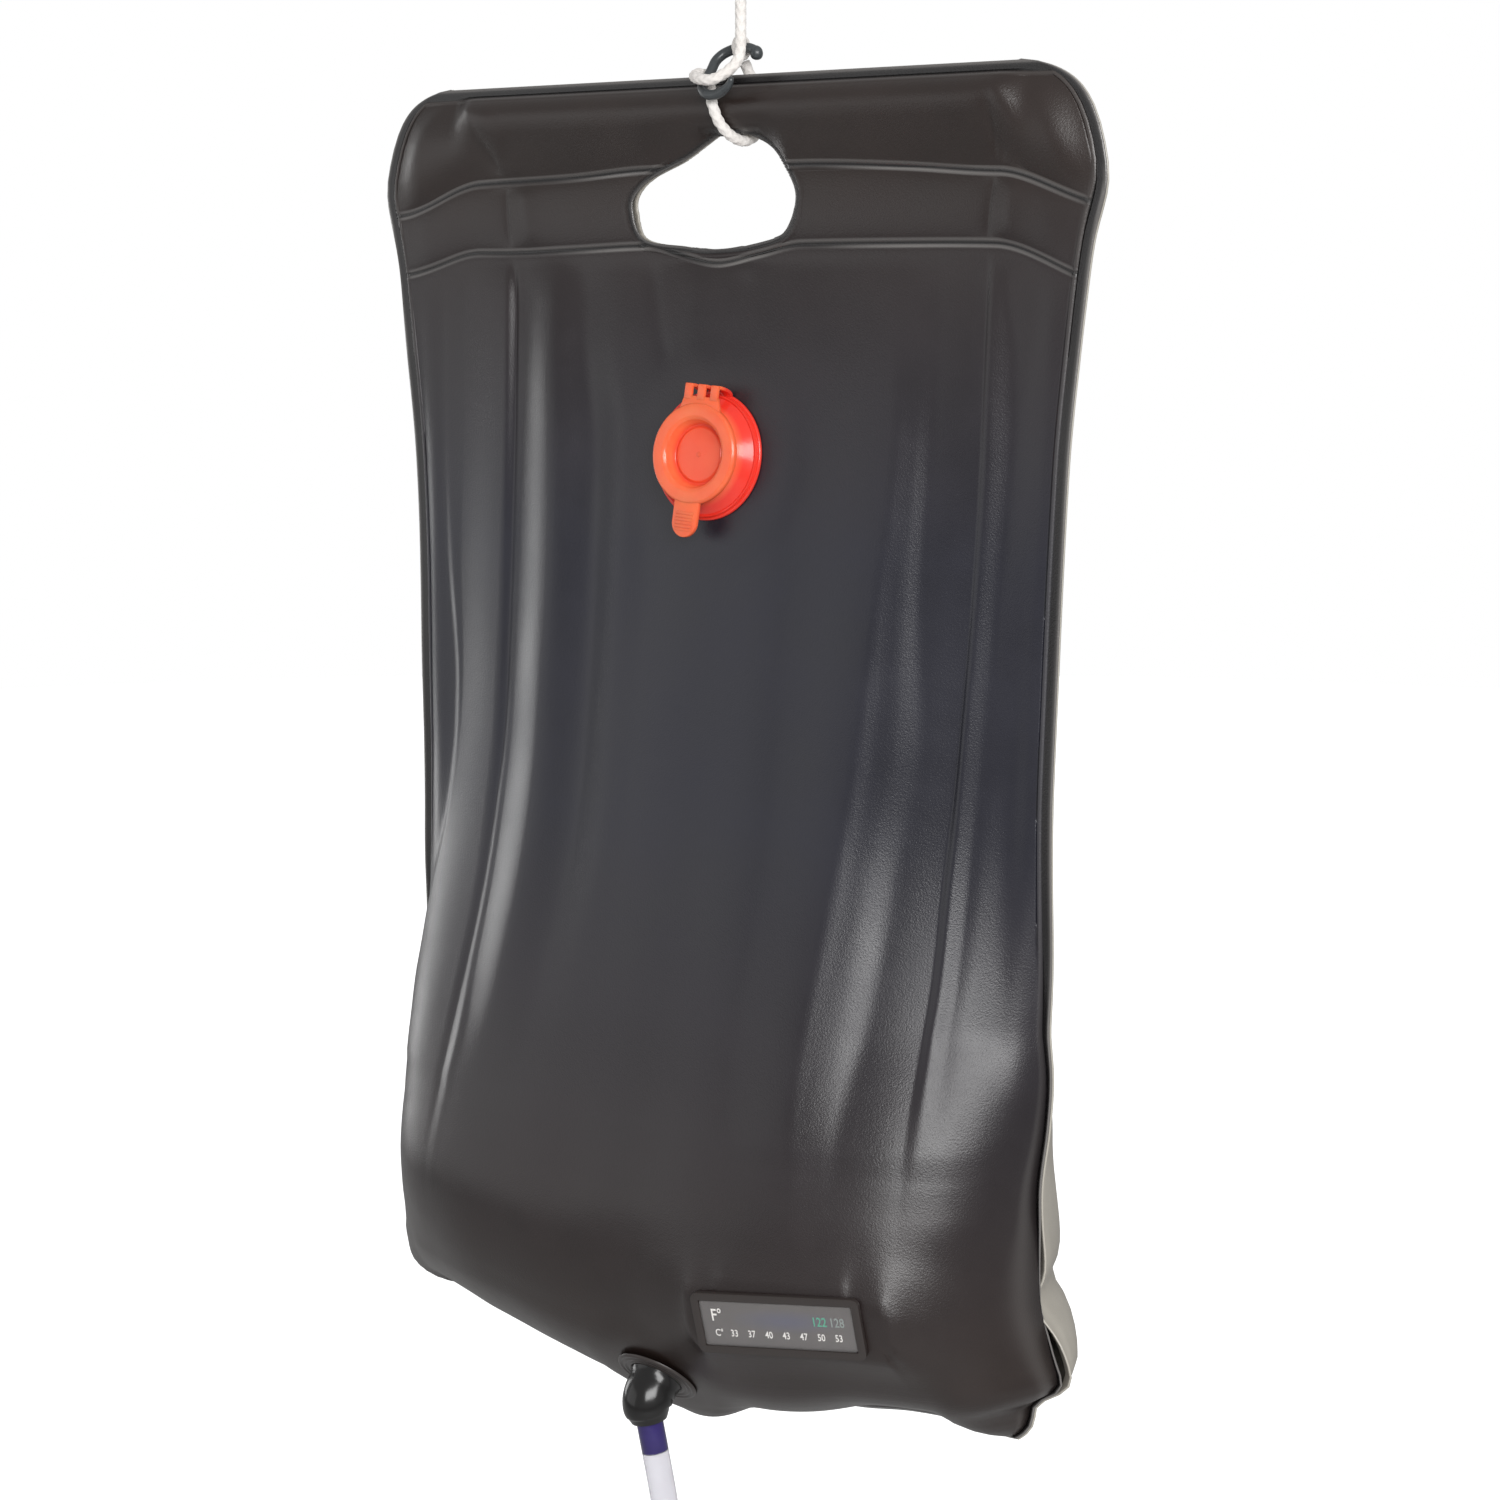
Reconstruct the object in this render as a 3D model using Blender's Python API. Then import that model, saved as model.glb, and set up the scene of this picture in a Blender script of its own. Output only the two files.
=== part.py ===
# Hanging camp shower bag, filled with water, with its filler, thermometer, outlet hose and shower head.
# The bag faces -Y. The origin is where the hang loop of its cord bears on a branch or a hook.

import math

import bmesh
import bpy
import numpy as np
from mathutils import Matrix, Vector

# Bag, in metres. Depths on the bag run down from its top edge, and x runs across it.
BAG_HEIGHT = 0.592  # hanging, seam to seam
BAG_WIDTH = 0.394  # across the ears beside the rod
BULGE = 0.0905  # how far each wall stands out of the seam when full
SHEET = 0.0008  # wall of the welded sheets
SEAM = 0.005  # width of the welded edge
WELD_GAP = 0.0003
TOP_CORNER = 0.042
BOTTOM_CORNER = 0.026
ROD_WELD_DEPTH = 0.0415
BAND = 0.0322
EAR_DROOP = 0.015
EAR_PUFF = 0.0055
BAND_PUFF = 0.0014
LEAN = 0.0055  # the full bag hangs this far to one side of its rod
CORNER_REACH = 0.0192  # its right lower corner sticks out this far
BOTTOM_RISE = 0.009
BOTTOM_DROP = 0.0084  # of the foot under its water

# Half width, lean, corner and bulge down the bag, as shares of the height and of their own size.
WIDTH_SHARES = [(0, 0.996), (0.03, 1), (0.05, 1), (0.07, 0.984), (0.1, 0.9645), (0.15, 0.9445), (0.2, 0.931)]
WIDTH_SHARES += [(0.25, 0.9205), (0.3, 0.9135), (0.4, 0.9015), (0.5, 0.8985), (0.6, 0.9045), (0.7, 0.9085)]
WIDTH_SHARES += [(0.75, 0.89), (0.8, 0.867), (0.84, 0.858), (0.887, 0.858), (0.93, 0.882), (0.96, 0.904), (1, 0.904)]
LEAN_SHARES = [(0, 0.58), (0.1, 0.74), (0.2, 0.71), (0.4, 0.84), (0.6, 1), (1, 1)]
CORNER_SHARES = [(0.68, 0), (0.75, 0.27), (0.8, 0.4), (0.84, 0.54), (0.875, 0.66), (0.909, 0.94), (0.93, 1)]
CORNER_SHARES += [(0.951, 0.65), (0.976, 0), (1, 0)]
BULGE_SHARES = [(0.136, 0), (0.205, 0.11), (0.274, 0.18), (0.427, 0.29), (0.564, 0.42), (0.684, 0.64)]
BULGE_SHARES += [(0.77, 0.85), (0.85, 1), (1, 1)]
ROUND_FROM_SHARE = 0.84  # the walls turn in to the bottom seam from here
ROUND_POWER = 2.6
# Drop of the foot across the bag, from its left edge to its right one.
DROP_SHARES = [(-1, -0.4), (-0.8, -0.42), (-0.5, -0.28), (-0.35, -0.16), (-0.2, 0.42), (-0.1, 0.84), (0, 1)]
DROP_SHARES += [(0.1, 0.93), (0.2, 0.83), (0.4, 0.6), (0.55, 0), (0.7, -0.23), (0.85, -0.06), (1, 0.2)]

# Folds that run down each wall: x of the ridge at its top and foot, their depths, height and half width.
FOLD_TOP_X_SHARES = (-0.644, -0.37, 0.53, 0.695)
FOLD_FOOT_X_SHARES = (-0.6, -0.39, 0.5, 0.73)
FOLD_TOP_DEPTH_SHARES = (0.1, 0.2, 0.2, 0.1)
FOLD_FOOT_DEPTH_SHARES = (0.78, 0.66, 0.8, 0.74)
FOLD_HEIGHT = 0.0055
FOLD_HEIGHT_SHARES = (1, 0.55, 0.75, 0.9)
FOLD_HALF_WIDTH = 0.013

# Support rod in the sleeve along the top.
ROD_RADIUS = 0.0090
ROD_LENGTH = 0.268
ROD_WALL = 0.0016
ROD_X = 0.005
SLEEVE_EASE = 0.0008

# Handle hole, as shares of its half width and height from its middle.
HOLE_X = 0.002
HOLE_DEPTH = 0.0495
HOLE_WIDTH = 0.086
HOLE_HEIGHT = 0.0496
HOLE_RIM = 0.0025
HOLE_SHARES = [(0.32, 1), (0.66, 0.77), (0.86, 0.37), (1, -0.13), (0.87, -0.68), (0.55, -0.89), (0.02, -0.99)]
HOLE_SHARES += [(-0.42, -0.95), (-0.94, -0.81), (-1.08, -0.31), (-1.04, 0.0), (-0.82, 0.29), (-0.4, 0.58)]
HOLE_SHARES += [(-0.12, 0.85), (0.05, 0.99)]

# Filler: welded neck and hinged cap.
FILLER_X = 0.0058
FILLER_DEPTH = 0.164
FILLER_ROLL = math.radians(-4)
NECK_BORE_RADIUS = 0.0190
NECK_FLANGE_RADIUS = 0.0284
NECK_FLANGE = 0.0016
NECK_STEP = 0.0014
NECK_STEP_RADIUS = 0.0270
NECK_FOOT_RADIUS = 0.0258
NECK_TOP_RADIUS = 0.0205
NECK_HEIGHT = 0.0095
CAP_RADIUS = 0.0222
CAP_RIM = 0.0030
CAP_DISH_RADIUS = 0.0160
CAP_DISH_DEPTH = 0.0058
CAP_DISC_RADIUS = 0.0125
CAP_DISC_RISE = 0.0009
PLUG_RADIUS = 0.0184
PLUG_FOOT_RADIUS = 0.0172
PLUG_WALL = 0.0014
TAB_LENGTH = 0.0144
TAB_WIDTH = 0.0132
TAB_THICK = 0.0022
TAB_RIBS = 6
TAB_RIB = 0.0006
STRAP_COUNT = 3
STRAP_WIDTH = 0.0040
STRAP_PITCH = 0.0070
STRAP_THICK = 0.0014
HINGE_RISE = 0.0075  # of the fold above the cap's rim

# Liquid-crystal thermometer on the front wall.
GAUGE_X = 0.088
GAUGE_RISE = 0.0697  # of its middle over the bag's foot
GAUGE_WIDTH = 0.078
GAUGE_HEIGHT = 0.0285
GAUGE_RIM = 0.0035
GAUGE_THICK = 0.0022
STRIP_THICK = 0.0003
WINDOW_THICK = 0.0004

# Outlet: ribbed flange, moulded elbow and the coupler that the hose is pushed on.
OUTLET_X = 0.0145
OUTLET_RISE = 0.0302  # over the bag's foot
OUTLET_RADIUS = 0.0225
OUTLET_PLATE = 0.0010
OUTLET_RIBS = 3
OUTLET_RIB = 0.0007
OUTLET_BORE_RADIUS = 0.0045
ELBOW_FOOT_RADIUS = 0.0118
ELBOW_TOP_RADIUS = 0.0102
ELBOW_RISE = 0.0118
ELBOW_DROP = 0.0100
COUPLER_LENGTH = 0.0190
HOSE_DIAMETER = 0.0120
HOSE_LENGTH = 0.330

# Shower head with its pull-down valve.
STEM_RADIUS = 0.0052
STEM_BORE_RADIUS = 0.0030
STEM_LENGTH = 0.0420
STEM_COLLAR_RADIUS = 0.0085
STEM_COLLAR = 0.0030
STEM_STOP_RADIUS = 0.0080
STEM_STOP = 0.0020
RING_WIRE_RADIUS = 0.0009
POST_RADIUS = 0.0022
POST_ENTRY = 0.0055  # of the closed valve's post into the stem
POST_RING_WIRE_RADIUS = 0.0005
HEAD_BORE_RADIUS = 0.0072
HEAD_NECK_RADIUS = 0.0112
HEAD_NECK = 0.0240
HEAD_CHAMBER_RADIUS = 0.0094
HEAD_RADIUS = 0.0270
HEAD_HEIGHT = 0.0560
HEAD_WALL = 0.0018
HEAD_LIP = 0.0060
PLATE_THICK = 0.0022
PLATE_HOLE_RADIUS = 0.0011
PLATE_HOLE_RINGS = ((6, 0.33), (12, 0.66))
VALVE_TRAVEL = 0.0080

# Cord and hook that the bag hangs from.
CORD_DIAMETER = 0.0048
HOOK_RADIUS = 0.0022
HOOK_BALL_RADIUS = 0.0029
KNOT_RADIUS = 0.0066
KNOT_HEIGHT = 0.0105
HANG_DROP = 0.0755  # from the inside of the loop to the bag's top edge
CORD_X = 0.0196  # of the cord above the hook, on the bag
CORD_Y = -0.0130
LOOP_HALF_WIDTH = 0.0092

SEAT = 0.0003  # gap left between pieces that touch
OVERRUN = 0.002  # that every cutter runs past what it cuts
COIL_SIDES = 24


# The bag's form


def ease(low, high, at):
    """0 below low, 1 above high, smooth between."""
    t = np.clip((np.asarray(at, float) - low) / (high - low), 0, 1)
    return t * t * (3 - 2 * t)


def flow(pairs, at):
    """A smooth line through the pairs that never swings past them."""
    xs, ys = (np.array(row, float) for row in zip(*pairs, strict=True))
    step = np.diff(xs)
    rise = np.diff(ys) / step
    slope = np.concatenate([[rise[0]], (rise[1:] + rise[:-1]) / 2, [rise[-1]]])
    slope[1:-1][rise[1:] * rise[:-1] <= 0] = 0
    limit = 3 * np.minimum(np.abs(np.append(rise, rise[-1])), np.abs(np.insert(rise, 0, rise[0])))
    slope = np.clip(slope, -limit, limit)
    at = np.clip(np.asarray(at, float), xs[0], xs[-1])
    i = np.clip(np.searchsorted(xs, at) - 1, 0, len(step) - 1)
    t = (at - xs[i]) / step[i]
    down, up = (1 - t) ** 2, t * t
    return down * ((1 + 2 * t) * ys[i] + t * step[i] * slope[i]) + up * (
        (3 - 2 * t) * ys[i + 1] - (1 - t) * step[i] * slope[i + 1]
    )


GAUGE_DEPTH = BAG_HEIGHT - GAUGE_RISE
OUTLET_DEPTH = BAG_HEIGHT - OUTLET_RISE
SLEEVE_RADIUS = ROD_RADIUS + SLEEVE_EASE
ROD_DEPTH = SEAM - SHEET + SLEEVE_RADIUS
BAND_DEPTH = ROD_WELD_DEPTH + BAND
HALF_WIDTH = BAG_WIDTH / 2
EAR_FROM = ROD_LENGTH / 2 + ROD_RADIUS * 0.7


def half_width(depth):
    """Half width of the bag at a depth, with its round corners."""
    width = HALF_WIDTH * flow(WIDTH_SHARES, depth / BAG_HEIGHT)
    top = np.clip(TOP_CORNER - depth, 0, TOP_CORNER)
    foot = np.clip(BOTTOM_CORNER - (BAG_HEIGHT - depth), 0, BOTTOM_CORNER)
    width = width - TOP_CORNER + np.sqrt(TOP_CORNER**2 - top**2)
    return width - BOTTOM_CORNER + np.sqrt(BOTTOM_CORNER**2 - foot**2)


def middle(depth):
    """x of the bag's middle line at a depth."""
    return -LEAN * flow(LEAN_SHARES, depth / BAG_HEIGHT)


def reach(x, depth):
    """How far the lower corner sticks out past the plain half width."""
    return CORNER_REACH * flow(CORNER_SHARES, depth / BAG_HEIGHT) * ease(0.35, 1, x / half_width(depth))


def hole_top(x):
    """Depth of the handle hole's upper edge at x, and a great depth beside it."""
    upper = sorted((p for p in HOLE_SHARES if p[1] > -0.14), key=lambda p: p[0])
    share = (x - HOLE_X) / (HOLE_WIDTH / 2)
    depth = HOLE_DEPTH - HOLE_HEIGHT / 2 * flow(upper, share) - HOLE_RIM
    return np.where(np.abs(share) < 1, depth, BAG_HEIGHT)


def sleeve(x, depth):
    """How far the sheet stands out round the rod, then runs in to the weld or to the hole's rim."""
    foot = np.maximum(np.minimum(ROD_WELD_DEPTH, hole_top(x)), ROD_DEPTH + SLEEVE_RADIUS)
    reach = foot - ROD_DEPTH
    turn = np.arccos(np.clip(SLEEVE_RADIUS / reach, 0, 1))
    tangent = ROD_DEPTH + SLEEVE_RADIUS * np.cos(turn)
    wrapped = np.sqrt(np.clip(SLEEVE_RADIUS**2 - (depth - ROD_DEPTH) ** 2, 0, None))
    slope = np.clip((foot - depth) / np.maximum(foot - tangent, SEAT), 0, 1)
    return np.where(depth < tangent, wrapped, SLEEVE_RADIUS * np.sin(turn) * slope)


def folds(x, depth):
    """The long vertical folds, as a height above the plain bulge."""
    total = 0
    rows = zip(
        FOLD_TOP_X_SHARES,
        FOLD_FOOT_X_SHARES,
        FOLD_TOP_DEPTH_SHARES,
        FOLD_FOOT_DEPTH_SHARES,
        FOLD_HEIGHT_SHARES,
        strict=True,
    )
    for top_x, foot_x, top, foot, height in rows:
        share = depth / BAG_HEIGHT
        run = ease(top, foot, share)
        line = HALF_WIDTH * (top_x + (foot_x - top_x) * run)
        shown = ease(top, top + 0.1, share) * (1 - ease(foot - 0.25, foot, share))
        total = total + FOLD_HEIGHT * height * shown * np.exp(-(((x - line) / FOLD_HALF_WIDTH) ** 2))
    return total


def foot_seam(share):
    """Depth of the bottom seam across the bag: it rises between the middle and the corners."""
    hump = ease(0.3, 0.75, np.abs(share)) * (1 - ease(0.8, 0.97, np.abs(share)))
    return BAG_HEIGHT - SEAM - BOTTOM_RISE * hump


def chamber(x, depth, front=True):
    """How far a wall stands out of the seam plane over the water. The back one is rounder at its sides."""
    inner = half_width(depth) - SEAM
    share = np.clip(np.abs(x) / inner, 0, 1)
    low = ease(0.5, 0.84, depth / BAG_HEIGHT)
    side = 0.64 if front else 0.64 - 0.16 * ease(0.2, 0.8, x / inner)
    section = (1 - share ** (2.2 + 1.4 * low)) ** (1.1 - side * low)
    start = ROUND_FROM_SHARE * BAG_HEIGHT
    t = np.clip((depth - start) / (foot_seam(x / inner) - start), 0, 1)
    closing = np.sqrt(1 - t**ROUND_POWER)
    full = BULGE * flow(BULGE_SHARES, depth / BAG_HEIGHT) * section * closing
    return full + folds(x, depth) * (1 - ease(0.86, 1, share))


def plain_wall(x, depth, front=True):
    """Height of a wall over the seam plane before anything is welded on it, at x from its middle line."""
    ear = ease(EAR_FROM, EAR_FROM + EAR_DROOP, np.abs(x - ROD_X))
    pillow = EAR_PUFF * np.sin(math.pi * np.clip((depth - SEAM) / (ROD_WELD_DEPTH - SEAM), 0, 1))
    edge = 1 - ease(0.9, 1, np.abs(x) / (half_width(depth) - SEAM))
    top = sleeve(x, depth) * (1 - ear) + pillow * ear * edge
    puff = BAND_PUFF * np.sin(math.pi * np.clip((depth - ROD_WELD_DEPTH) / BAND, 0, 1)) * edge
    height = np.where(depth < ROD_WELD_DEPTH, top, puff)
    height = np.where(depth > BAND_DEPTH, chamber(x, depth, front), height)
    return np.where(depth < SEAM - SHEET, 0, height)


def droop(x, depth):
    """How far the ears sag below the rod's line."""
    side = ease(EAR_FROM, HALF_WIDTH, np.abs(x - ROD_X))
    shown = ease(SEAM, ROD_WELD_DEPTH, depth) * (1 - ease(BAND_DEPTH, 3 * BAND_DEPTH, depth))
    return EAR_DROOP * side * shown


def place(x, height, depth):
    """Bag coordinates to the frame. Height is towards the front."""
    drop = BOTTOM_DROP * flow(DROP_SHARES, x / HALF_WIDTH) * ease(0.7, 1, depth / BAG_HEIGHT)
    return np.stack(
        [
            x + middle(depth) + reach(x, depth) - CORD_X,
            -height - CORD_Y,
            -HANG_DROP - depth - droop(x, depth) - drop,
        ],
        -1,
    )


def outward(x, depth, step=SEAM / 10):
    """Unit normal of the plain front wall, and the directions across it and up it."""
    here = place(x, plain_wall(x, depth), depth)
    across = place(x + step, plain_wall(x + step, depth), depth) - here
    up = place(x, plain_wall(x, depth - step), depth - step) - here
    normal = Vector(np.cross(across, up)).normalized()
    across = Vector(across).normalized()
    return Vector(here), normal, across


def seat(x, depth):
    """The frame of a fitting welded on the front wall: x across, y up, z out of the wall, on its outer face."""
    here, normal, across = outward(x - middle(depth).item(), depth)
    up = normal.cross(across).normalized()
    matrix = Matrix((across, up, normal)).transposed().to_4x4()
    matrix.translation = here + normal * (SHEET + WELD_GAP / 2)
    return matrix


# Where the fittings sit: place, half width and half height on the bag, and how square each is.
SEATS = {
    "filler": (FILLER_X, FILLER_DEPTH, NECK_FLANGE_RADIUS, NECK_FLANGE_RADIUS, 2),
    "gauge": (GAUGE_X, GAUGE_DEPTH, GAUGE_WIDTH / 2, GAUGE_HEIGHT / 2, 4),
    "outlet": (OUTLET_X, OUTLET_DEPTH, OUTLET_RADIUS, OUTLET_RADIUS * 0.7, 2),
}
FLAT_SHARE = 1.2  # the wall is flat this far round a welded fitting
BLEND_SHARE = 1.9


def flattened(points, x, depth):
    """The front wall's points, moved on to the plane of each fitting round it."""
    for seat_x, seat_depth, wide, tall, power in SEATS.values():
        matrix = seat(seat_x, seat_depth)
        normal = np.array(matrix.col[2].to_3d())
        foot = np.array(matrix.translation) - normal * SHEET
        aside = np.abs((x - seat_x + middle(seat_depth)) / wide) ** power
        away = (aside + np.abs((depth - seat_depth) / tall) ** power) ** (1 / power)
        near = 1 - ease(FLAT_SHARE, BLEND_SHARE, away)
        points = points + (near * ((foot - points) @ normal))[..., None] * normal
    return points


# Shared ways of making meshes


def finish(name, mesh, colour, roughness, metallic=0.0, parent=None, location=(0, 0, 0), smooth=True):
    """A named object with its own material."""
    obj = bpy.data.objects.new(name, mesh)
    bpy.context.scene.collection.objects.link(obj)
    material = bpy.data.materials.new(name)
    material.use_nodes = True
    shader = material.node_tree.nodes["Principled BSDF"]
    shader.inputs["Base Color"].default_value = (*colour, 1)
    shader.inputs["Roughness"].default_value = roughness
    shader.inputs["Metallic"].default_value = metallic
    obj.data.materials.append(material)
    obj.parent = parent
    obj.location = location
    if smooth and obj.type == "MESH":
        mesh.shade_smooth()
        mesh.set_sharp_from_angle(angle=math.radians(35))
    return obj


def to_mesh(name, bm):
    bmesh.ops.recalc_face_normals(bm, faces=bm.faces)
    mesh = bpy.data.meshes.new(name)
    bm.to_mesh(mesh)
    bm.free()
    return mesh


def turned(name, profile, sides=COIL_SIDES):
    """A closed profile of (radius, height) pairs turned about local z."""
    bm = bmesh.new()
    ring = [bm.verts.new((r, 0, z)) for r, z in profile]
    edges = [bm.edges.new((ring[i - 1], ring[i])) for i in range(len(ring))]
    bmesh.ops.spin(
        bm, geom=ring + edges, cent=(0, 0, 0), axis=(0, 0, 1), angle=math.tau, steps=sides, use_merge=True
    )
    bmesh.ops.remove_doubles(bm, verts=bm.verts, dist=SEAT / 10)
    loose = [e for e in bm.edges if len(e.link_faces) == 0]
    bmesh.ops.delete(bm, geom=loose, context="EDGES")
    return to_mesh(name, bm)


def extruded(name, outline, low, high):
    """An outline of (x, y) pairs extruded along local z."""
    bm = bmesh.new()
    face = bm.faces.new([bm.verts.new((x, y, low)) for x, y in outline])
    grown = bmesh.ops.extrude_face_region(bm, geom=[face])
    moved = [v for v in grown["geom"] if isinstance(v, bmesh.types.BMVert)]
    bmesh.ops.translate(bm, verts=moved, vec=(0, 0, high - low))
    return to_mesh(name, bm)


def helper(name, mesh, matrix=None):
    """A cutter or an added lump, which isn't a piece of its own."""
    obj = bpy.data.objects.new(name, mesh)
    bpy.context.scene.collection.objects.link(obj)
    obj.hide_render = True
    obj.display_type = "WIRE"
    if matrix is not None:
        obj.matrix_world = matrix
    return obj


def boolean(obj, other, operation):
    modifier = obj.modifiers.new(other.name, "BOOLEAN")
    modifier.operation = operation
    modifier.solver = "EXACT"
    modifier.object = other
    return modifier


def empty(name, matrix):
    obj = bpy.data.objects.new(name, None)
    bpy.context.scene.collection.objects.link(obj)
    obj.matrix_world = matrix
    return obj


def arc(centre, radius, start, end, steps):
    """Points of an arc in degrees, both ends included."""
    turn = np.radians(np.linspace(start, end, steps + 1))
    return [(centre[0] + radius * math.cos(a), centre[1] + radius * math.sin(a)) for a in turn]


def smooth_line(points, spacing):
    """Points at an even spacing on a smooth curve through the route's own points."""
    points = np.array(points, float)
    lengths = np.linalg.norm(np.diff(points, axis=0), axis=1)
    knots = np.concatenate([[0], np.cumsum(np.sqrt(lengths))])
    padded = np.vstack([2 * points[0] - points[1], points, 2 * points[-1] - points[-2]])
    marks = np.concatenate([[2 * knots[0] - knots[1]], knots, [2 * knots[-1] - knots[-2]]])
    fine = []
    for i in range(len(points) - 1):
        t = np.linspace(knots[i], knots[i + 1], 24, endpoint=False)[:, None]
        p, k = padded[i : i + 4], marks[i : i + 4]
        a = [(p[j] * (k[j + 1] - t) + p[j + 1] * (t - k[j])) / (k[j + 1] - k[j]) for j in range(3)]
        b = [(a[j] * (k[j + 2] - t) + a[j + 1] * (t - k[j])) / (k[j + 2] - k[j]) for j in range(2)]
        fine.append((b[0] * (k[2] - t) + b[1] * (t - k[1])) / (k[2] - k[1]))
    fine = np.vstack([*fine, points[-1:]])
    run = np.concatenate([[0], np.cumsum(np.linalg.norm(np.diff(fine, axis=0), axis=1))])
    count = max(2, round(run[-1] / spacing) + 1)
    even = np.linspace(0, run[-1], count)
    return np.stack([np.interp(even, run, fine[:, axis]) for axis in range(3)], 1)


def tube(name, points, radius, colour, roughness, radii=None, resolution=2):
    """A round solid along the points, with closed ends."""
    curve = bpy.data.curves.new(name, "CURVE")
    curve.dimensions = "3D"
    curve.bevel_depth = radius
    curve.bevel_resolution = resolution
    curve.use_fill_caps = True
    spline = curve.splines.new("POLY")
    spline.points.add(len(points) - 1)
    for i, (point, x) in enumerate(zip(spline.points, points, strict=True)):
        point.co = (*x, 1)
        point.radius = 1 if radii is None else radii[i] / radius
    return finish(name, curve, colour, roughness)


def clear_scene():
    for obj in list(bpy.data.objects):
        bpy.data.objects.remove(obj)


# The bag


def sheet_rows():
    """Depths of the mesh rows: close together round the rod and the bottom."""
    turns = np.radians(np.arange(0, 160, 22.5))
    rows = [0, SEAM - SHEET] + [ROD_DEPTH - SLEEVE_RADIUS * math.cos(a) for a in turns[1:]]
    rows += [ROD_DEPTH + SLEEVE_RADIUS * 1.25, ROD_DEPTH + SLEEVE_RADIUS * 2]
    rows += [ROD_WELD_DEPTH, BAND_DEPTH - BAND / 2, BAND_DEPTH]
    shares = (0.142, 0.165, 0.2, 0.25, 0.3, 0.36, 0.43, 0.5, 0.57, 0.63, 0.69, 0.74, 0.79, 0.83, 0.862)
    shares += (0.888, 0.912, 0.934, 0.953, 0.969, 0.981)
    rows += [BAG_HEIGHT * share for share in shares]
    return [*rows, BAG_HEIGHT - SEAM, BAG_HEIGHT]


SIDE_SHARES = (0, 0.14, 0.27, 0.39, 0.49, 0.575, 0.63, 0.69, 0.745, 0.81, 0.875, 0.935, 0.972, 1)


def wall_sheet(name, front, colour):
    """One welded sheet: a grid laid on the wall's form, thickened away from the water."""
    shares = np.array([-s for s in SIDE_SHARES[:0:-1]] + list(SIDE_SHARES))
    rows = np.array(sheet_rows())
    x = shares[None, :] * half_width(rows)[:, None]
    depth = np.repeat(rows[:, None], len(shares), 1)
    inner = half_width(depth) - SEAM
    height = np.where(np.abs(x) < inner, plain_wall(x, depth, front), 0) + WELD_GAP / 2
    points = place(x, height if front else -height, depth)
    if front:
        points = flattened(points, x, depth)
    bm = bmesh.new()
    verts = [[bm.verts.new(p) for p in row] for row in points]
    for upper, lower in zip(verts, verts[1:], strict=False):
        for i in range(len(upper) - 1):
            corners = [upper[i], lower[i], lower[i + 1], upper[i + 1]]
            bm.faces.new(corners if front else corners[::-1])
    mesh = bpy.data.meshes.new(name)
    bm.to_mesh(mesh)
    bm.free()
    obj = finish(name, mesh, colour, 0.45)
    solid = obj.modifiers.new("thickness", "SOLIDIFY")
    solid.thickness = SHEET
    solid.offset = 1
    return obj


def hole_outline():
    """The handle hole as a smooth closed line of (x, depth)."""
    shares = np.array([*HOLE_SHARES[-2:], *HOLE_SHARES, *HOLE_SHARES[:2]])
    line = []
    for i in range(1, len(shares) - 2):
        a, b, c, d = shares[i - 1 : i + 3]
        sharp = i == 1 or i == len(shares) - 3
        for t in (0,) if sharp else (0, 0.5):
            point = 0.5 * (
                2 * b + (c - a) * t + (2 * a - 5 * b + 4 * c - d) * t**2 + (3 * b - a - 3 * c + d) * t**3
            )
            line.append(point)
    line = np.array(line)[1:]
    return np.stack(
        [HOLE_X + line[:, 0] * HOLE_WIDTH / 2, HOLE_DEPTH - line[:, 1] * HOLE_HEIGHT / 2], 1
    )


def hole_cutter():
    outline = [(x - CORD_X, -HANG_DROP - depth) for x, depth in hole_outline()]
    reach = SLEEVE_RADIUS + SHEET + OVERRUN
    mesh = extruded("handle_hole_cutter", outline, -reach, reach)
    mesh.transform(Matrix.Translation((0, -CORD_Y, 0)) @ Matrix.Rotation(math.pi / 2, 4, "X"))
    return helper("handle_hole_cutter", mesh)


def bore_cutter(name, radius, matrix, low, high):
    mesh = turned(name, [(0, low), (radius, low), (radius, high), (0, high)])
    return helper(name, mesh, matrix)


def make_bag():
    front = wall_sheet("front_panel", True, (0.045, 0.044, 0.047))
    back = wall_sheet("back_panel", False, (0.32, 0.30, 0.26))
    cutter = hole_cutter()
    boolean(front, cutter, "DIFFERENCE")
    boolean(back, cutter, "DIFFERENCE")
    deep = SHEET + OVERRUN
    filler = bore_cutter("filler_bore_cutter", NECK_BORE_RADIUS, seat(FILLER_X, FILLER_DEPTH), -deep, deep)
    outlet = bore_cutter("outlet_bore_cutter", OUTLET_BORE_RADIUS, seat(OUTLET_X, OUTLET_DEPTH), -deep, deep)
    boolean(front, filler, "DIFFERENCE")
    boolean(front, outlet, "DIFFERENCE")


def make_rod():
    inner = ROD_RADIUS - ROD_WALL
    half = ROD_LENGTH / 2
    profile = [(inner, -half), (ROD_RADIUS, -half), (ROD_RADIUS, half), (inner, half)]
    obj = finish("support_rod", turned("support_rod", profile), (0.06, 0.06, 0.065), 0.4)
    obj.location = (ROD_X - CORD_X + middle(ROD_DEPTH), -CORD_Y, -HANG_DROP - ROD_DEPTH)
    obj.rotation_euler = (0, math.pi / 2, 0)


# The filler


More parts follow.
